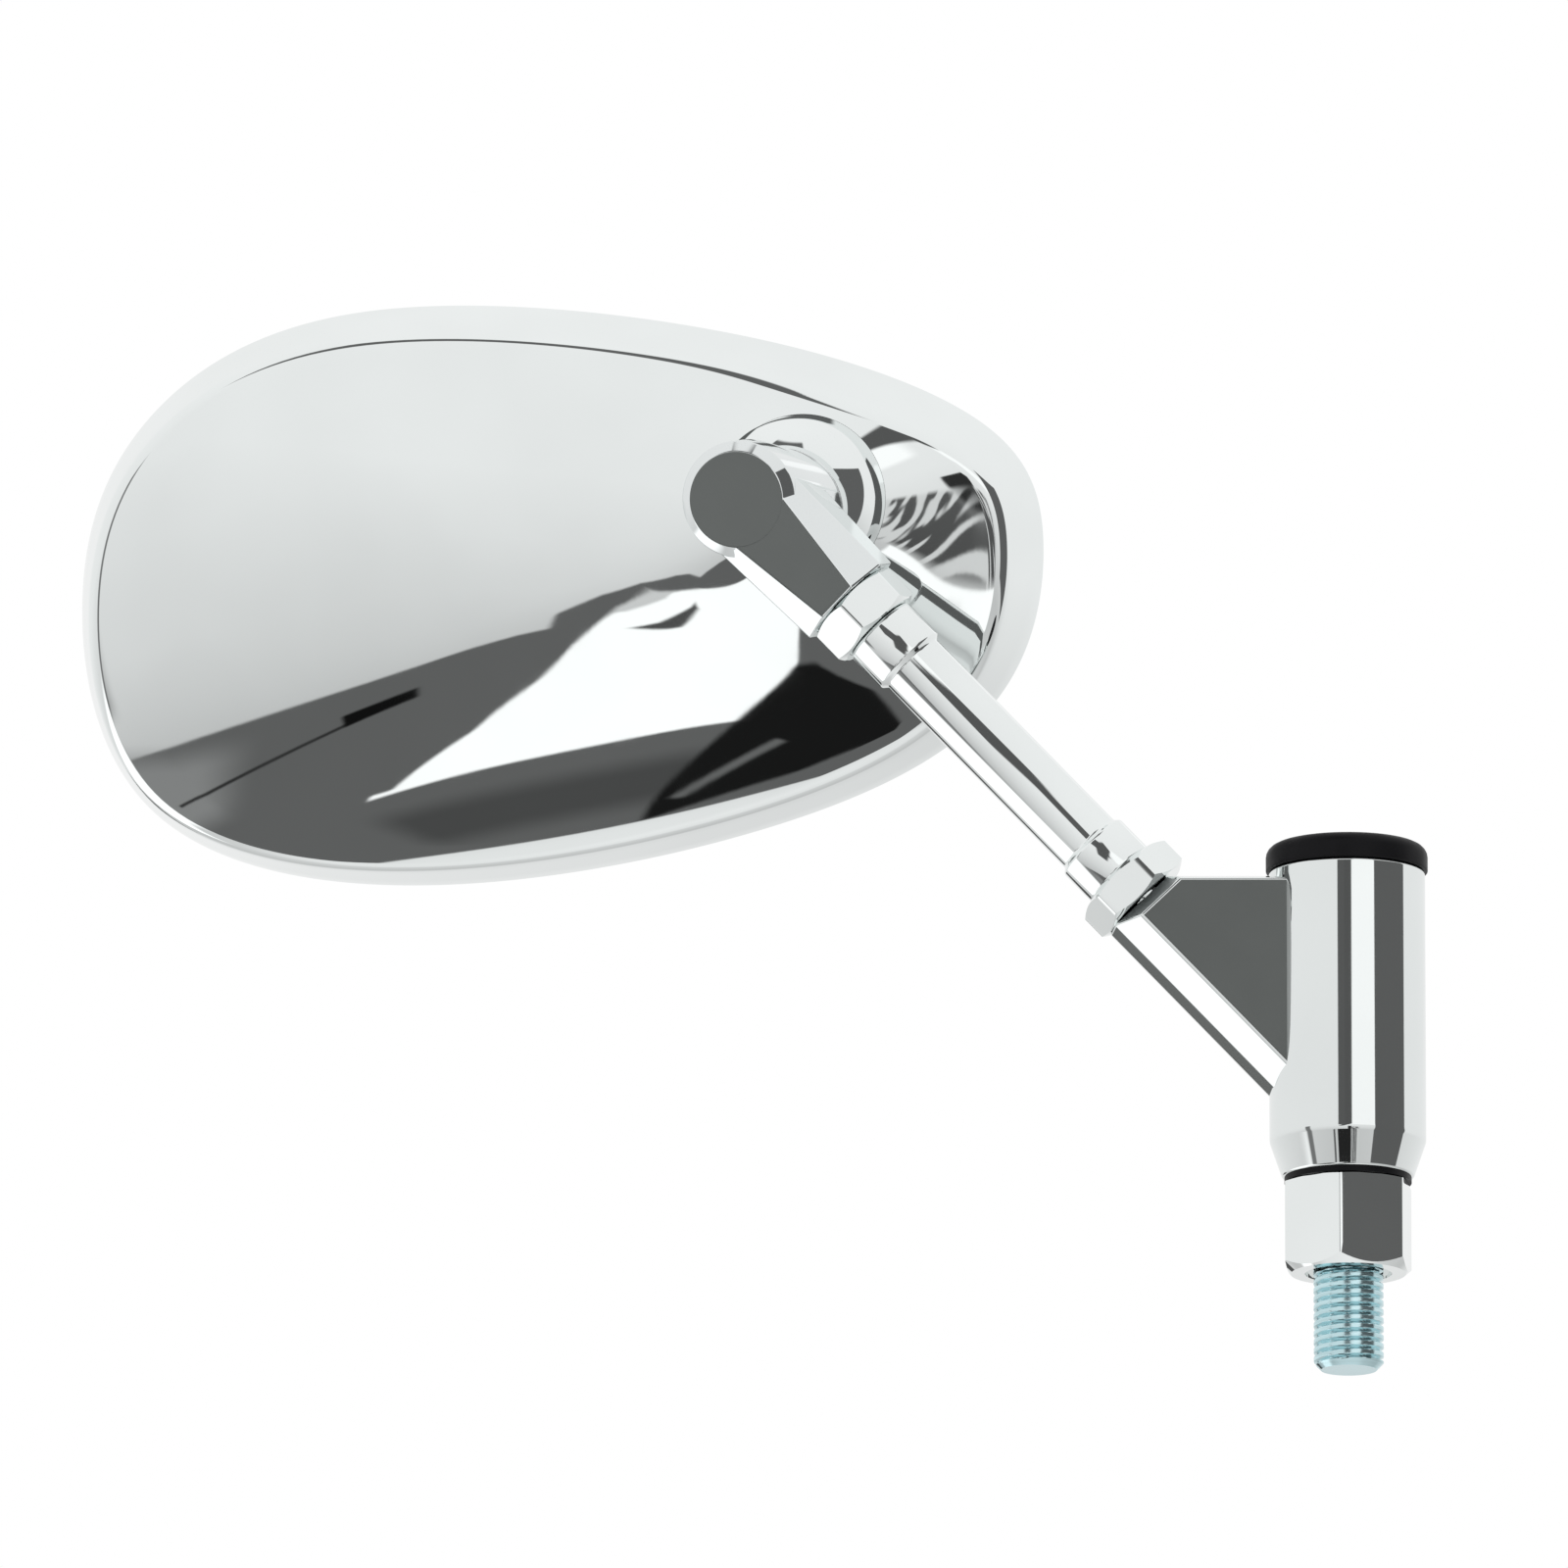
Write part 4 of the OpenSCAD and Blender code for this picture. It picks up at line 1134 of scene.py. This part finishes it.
# Studio
class WorldMaker(NodeMaker):
    """Builds the studio that the chrome reflects, from directions seen from the mirror"""

    def __init__(self, tree):
        super().__init__(tree)
        x, y, z = self.add("SeparateXYZ", Vector=self.add("TexCoord").outputs["Generated"]).outputs
        turn_round = self.math("ARCTAN2", x, self.math("MULTIPLY", y, -1.0))
        self.azimuth = self.math("MULTIPLY", turn_round, 180 / math.pi)
        self.elevation = self.math("MULTIPLY", self.math("ARCSINE", z), 180 / math.pi)

    def math(self, operation, a, b=None, c=None):
        node = self.add("Math")
        node.operation = operation
        for socket, value in zip(node.inputs, (a, b, c)):
            self.feed(socket, value)
        return node.outputs[0]

    def inside(self, corners, soft):
        """1 inside a convex card, from its corners in degrees, counter-clockwise."""
        found = None
        for (ax, ay), (bx, by) in zip(corners, corners[1:] + corners[:1]):
            long = math.hypot(bx - ax, by - ay)
            nx, ny = -(by - ay) / long, (bx - ax) / long
            away = self.math("MULTIPLY_ADD", self.azimuth, nx, -(ax * nx + ay * ny))
            away = self.math("MULTIPLY_ADD", self.elevation, ny, away)
            side = self.fit(away, -soft, soft)
            found = side if found is None else self.math("MULTIPLY", found, side)
        return found

    def levels(self, value, stops):
        """Brightness by elevation, from (elevation, brightness) stops."""
        ramp = self.add("ValToRGB", Fac=self.math("MULTIPLY_ADD", value, 1 / 180, 0.5))
        band = ramp.color_ramp
        while len(band.elements) < len(stops):
            band.elements.new(0.5)
        for element, (elevation, bright) in zip(band.elements, stops):
            element.position = (elevation + 90) / 180
            element.color = (bright, bright, bright, 1)
        return ramp.outputs["Color"]

    def blotches(self, across, lean, up, low, high):
        """Broken reflections of a cluttered corner, stretched along a slanted line, as brightness."""
        slant = self.math("MULTIPLY", self.elevation, lean)
        sideways = self.math("MULTIPLY_ADD", self.azimuth, across, slant)
        join = self.add("CombineXYZ", X=sideways, Y=self.math("MULTIPLY", self.elevation, up))
        noise = self.add("TexNoise", Scale=1.0, Detail=1.0, Vector=join.outputs["Vector"])
        return self.fit(noise.outputs["Fac"], 0.48, 0.56, low, high)

    def mix(self, factor, a, b):
        node = self.add("Mix")
        node.data_type = "FLOAT"
        for socket, value in zip(node.inputs[:4], (factor, None, a, b)):
            self.feed(socket, value)
        return node.outputs[0]


# Brightness of the studio by elevation
STUDIO_LEVELS = [
    (-90, 0.92), (-69, 0.86), (-60, 0.70), (-31, 0.58), (-21, 0.74), (-12, 0.82), (0, 0.90),
    (28, 0.93), (90, 0.97),
]

# Corner of the studio whose broken reflections are made by noise, as the corners of a card
STUDIO_CLUTTER = [(3.6, -28), (16, -28), (16, -9), (3.6, -9)]

# Cards round the mirror, each laid over those before it: corners as (azimuth, elevation) seen from the
# mirror, azimuth 0 towards the front; then the softness of its edge in degrees, and its brightness
STUDIO_CARDS = {
    "table": ([(-64, -66.8), (16, -66.8), (16, -30), (-27, -29.5), (-47, -30.5), (-64, -28)], 0.4, 0.125),
    "window on the table": ([(-41, -52.2), (-15.5, -51.2), (-9, -41.5), (-8, -27), (-21, -27)], 0.3, 1.15),
    "table left of the window": (
        [
            (-64, -51.5), (-38.5, -51.5), (-30.5, -44.8), (-25.8, -38), (-23.8, -33), (-22.3, -28.3),
            (-64, -31.5),
        ],
        0.3, 0.125,
    ),
    "wedge by the elbow": (
        [(-31, -32), (-23.6, -32), (-20.6, -25.5), (-20, -16.5), (-22.6, -16.5), (-24.2, -26)], 0.3, 0.125,
    ),
    "swoosh by the elbow": ([(-20.6, -30.2), (-18.8, -31.6), (-16.8, -31.4), (-18.0, -29.4)], 0.3, 0.08),
    "table's pale side": ([(-64, -50), (-52, -46), (-48, -33.5), (-64, -30)], 3.0, 0.25),
    "table's dark middle": ([(-41, -63), (-20, -63), (-18, -56), (-42, -56)], 2.0, 0.07),
    "table's dark side": (
        [(-26, -66.5), (-12, -62), (-1, -55), (-3, -45), (-7, -41.5), (-9.5, -42)], 0.4, 0.01,
    ),
    "streak": ([(-22.5, -63), (-21.7, -63.4), (-12.3, -55.9), (-13, -55.2)], 0.4, 0.14),
    "table's joint": ([(-58, -42.9), (-38, -36.5), (-38, -35.9), (-58, -42.2)], 0.25, 0.03),
    "table's clamp": ([(-39.5, -37), (-33.5, -35.5), (-33.5, -33.6), (-39.5, -34.6)], 0.3, 0.006),
    "right edge": (
        [(-1, -38), (3.4, -38), (3.7, -29), (4.8, -22), (5.2, -12), (4.4, -4), (-1, -4)], 0.3, 0.03,
    ),
    "front lamp": ([(3.4, -35), (13.5, -35), (13.5, -28.6), (3.4, -28.6)], 0.3, 1.15),
    "right lamp": ([(5, 6), (41, 6), (41, 19), (5, 19)], 1.2, 1.12),
    "right flag": ([(39.5, -25), (91, -25), (91, 30), (39.5, 30)], 0.5, 0.12),
    "front flag": ([(-15, 6), (1.8, 6), (1.8, 18), (-15, 18)], 0.5, 0.11),
    "slanted front flag": ([(-15, -2.5), (-8, -2.5), (9.5, 17), (8.5, 22.5), (-4, 14)], 0.7, 0.1),
    "front shelf": ([(-17, -28), (2.8, -28), (2.8, -23.5), (-17, -23.5)], 0.6, 0.02),
    "flag behind the arm": ([(-160, -22), (-145.3, -22), (-145.3, -9), (-160, -9)], 0.5, 0.09),
    "rear window": ([(141, 20), (150, 22), (156, 37), (147, 35)], 1.0, 1.12),
    "left lamp": ([(-134, -52), (-68, -52), (-68, -20), (-134, -20)], 2.5, 1.3),
    "left edge": ([(-66, -25), (-58, -25), (-58, 8), (-66, 8)], 1.5, 0.2),
    "ceiling edge": ([(-64, 38), (8, 38), (8, 68), (-64, 68)], 2.5, 0.13),
}


class MIRROR_OT_studio(bpy.types.Operator):
    """Pale floor, studio surround and camera"""

    bl_idname = "mirror.studio"
    bl_label = "Studio"

    def floor(self, studio):
        """The floor, clear from below, where the camera looks through it."""
        half, z = studio.floor_size / 2, studio.floor_level
        corners = [(-half, -half, z), (half, -half, z), (half, half, z), (-half, half, z)]
        sheet = add_object("studio_floor", corners, [(0, 1, 2, 3)])
        finish = Finish("studio floor")
        finish.colours(finish.noise(0.8, 3.0), (0.93, 0.93, 0.93), (0.96, 0.96, 0.96))
        finish.rough(finish.noise(2.0, 3.0), 0.8, 0.95)
        mix = finish.add("MixShader", Fac=finish.add("NewGeometry").outputs["Backfacing"])
        finish.feed(mix.inputs[1], finish.shader.outputs["BSDF"])
        finish.feed(mix.inputs[2], finish.add("BsdfTransparent").outputs["BSDF"])
        finish.feed(finish.nodes["Material Output"].inputs["Surface"], mix.outputs["Shader"])
        sheet.data.materials.append(finish.material)
        sheet.visible_glossy = False

    def world(self, studio):
        """What the chrome reflects, the light on the dull surfaces, and the backdrop."""
        world = bpy.data.worlds.new("studio")
        bpy.context.scene.world = world
        world.use_nodes = True
        maker = WorldMaker(world.node_tree)
        tone = maker.levels(maker.elevation, STUDIO_LEVELS)
        for corners, soft, bright in STUDIO_CARDS.values():
            tone = maker.mix(maker.inside(corners, soft), tone, bright * studio.surround)
        clutter = maker.math("MULTIPLY", maker.inside(STUDIO_CLUTTER, 1.2), 0.9)
        tone = maker.mix(clutter, tone, maker.blotches(0.55, 0.19, 0.07, 0.02, 0.7))
        path = maker.add("LightPath")
        tone = maker.mix(path.outputs["Is Glossy Ray"], studio.fill, tone)
        tone = maker.mix(path.outputs["Is Camera Ray"], tone, studio.backdrop)
        maker.feed(maker.nodes["Background"].inputs["Color"], tone)

    def camera(self, studio):
        data = bpy.data.cameras.new("studio_camera")
        data.lens = studio.focal
        data.sensor_width = 36.0
        data.clip_start, data.clip_end = 0.1, 200.0
        camera = bpy.data.objects.new("studio_camera", data)
        bpy.context.scene.collection.objects.link(camera)
        back = -Vector(VIEW).normalized()
        camera.location = Vector(AIM) + back * studio.distance
        camera.rotation_mode = "QUATERNION"
        camera.rotation_quaternion = (-back).to_track_quat("-Z", "Y")
        bpy.context.scene.camera = camera

    def execute(self, context):
        studio = context.scene.mirror_studio
        self.floor(studio)
        self.world(studio)
        self.camera(studio)
        context.scene.view_settings.view_transform = "Standard"
        return {"FINISHED"}


OPERATORS = (
    MIRROR_OT_stud, MIRROR_OT_hex, MIRROR_OT_arm, MIRROR_OT_cap, MIRROR_OT_stem, MIRROR_OT_ring_nuts,
    MIRROR_OT_elbow, MIRROR_OT_housing, MIRROR_OT_boss, MIRROR_OT_glass, MIRROR_OT_inner_finishes,
    MIRROR_OT_studio,
)


class MIRROR_PT_panel(bpy.types.Panel):
    """Lists the mirror's pieces and sizes"""

    bl_idname = "MIRROR_PT_panel"
    bl_label = "Motorcycle Mirror"
    bl_space_type = "VIEW_3D"
    bl_region_type = "UI"
    bl_category = "Mirror"

    def draw(self, context):
        for operator in OPERATORS:
            self.layout.operator(operator.bl_idname)
        for group, kind in GROUPS:
            box = self.layout.box()
            box.label(text=group.replace("_", " ").title())
            for key in kind.__annotations__:
                box.prop(getattr(context.scene, group), key)


def register():
    for group, kind in GROUPS:
        bpy.utils.register_class(kind)
        setattr(bpy.types.Scene, group, PointerProperty(type=kind))
    for operator in OPERATORS:
        bpy.utils.register_class(operator)
    bpy.utils.register_class(MIRROR_PT_panel)


def unregister():
    bpy.utils.unregister_class(MIRROR_PT_panel)
    for operator in reversed(OPERATORS):
        bpy.utils.unregister_class(operator)
    for group, kind in reversed(GROUPS):
        delattr(bpy.types.Scene, group)
        bpy.utils.unregister_class(kind)


def main():
    register()
    bpy.ops.mirror.stud()
    bpy.ops.mirror.hex()
    bpy.ops.mirror.arm()
    bpy.ops.mirror.cap()
    bpy.ops.mirror.stem()
    bpy.ops.mirror.ring_nuts()
    bpy.ops.mirror.elbow()
    bpy.ops.mirror.housing()
    bpy.ops.mirror.boss()
    bpy.ops.mirror.glass()
    bpy.ops.mirror.inner_finishes()
    bpy.ops.mirror.studio()


if __name__ == "__main__":
    main()
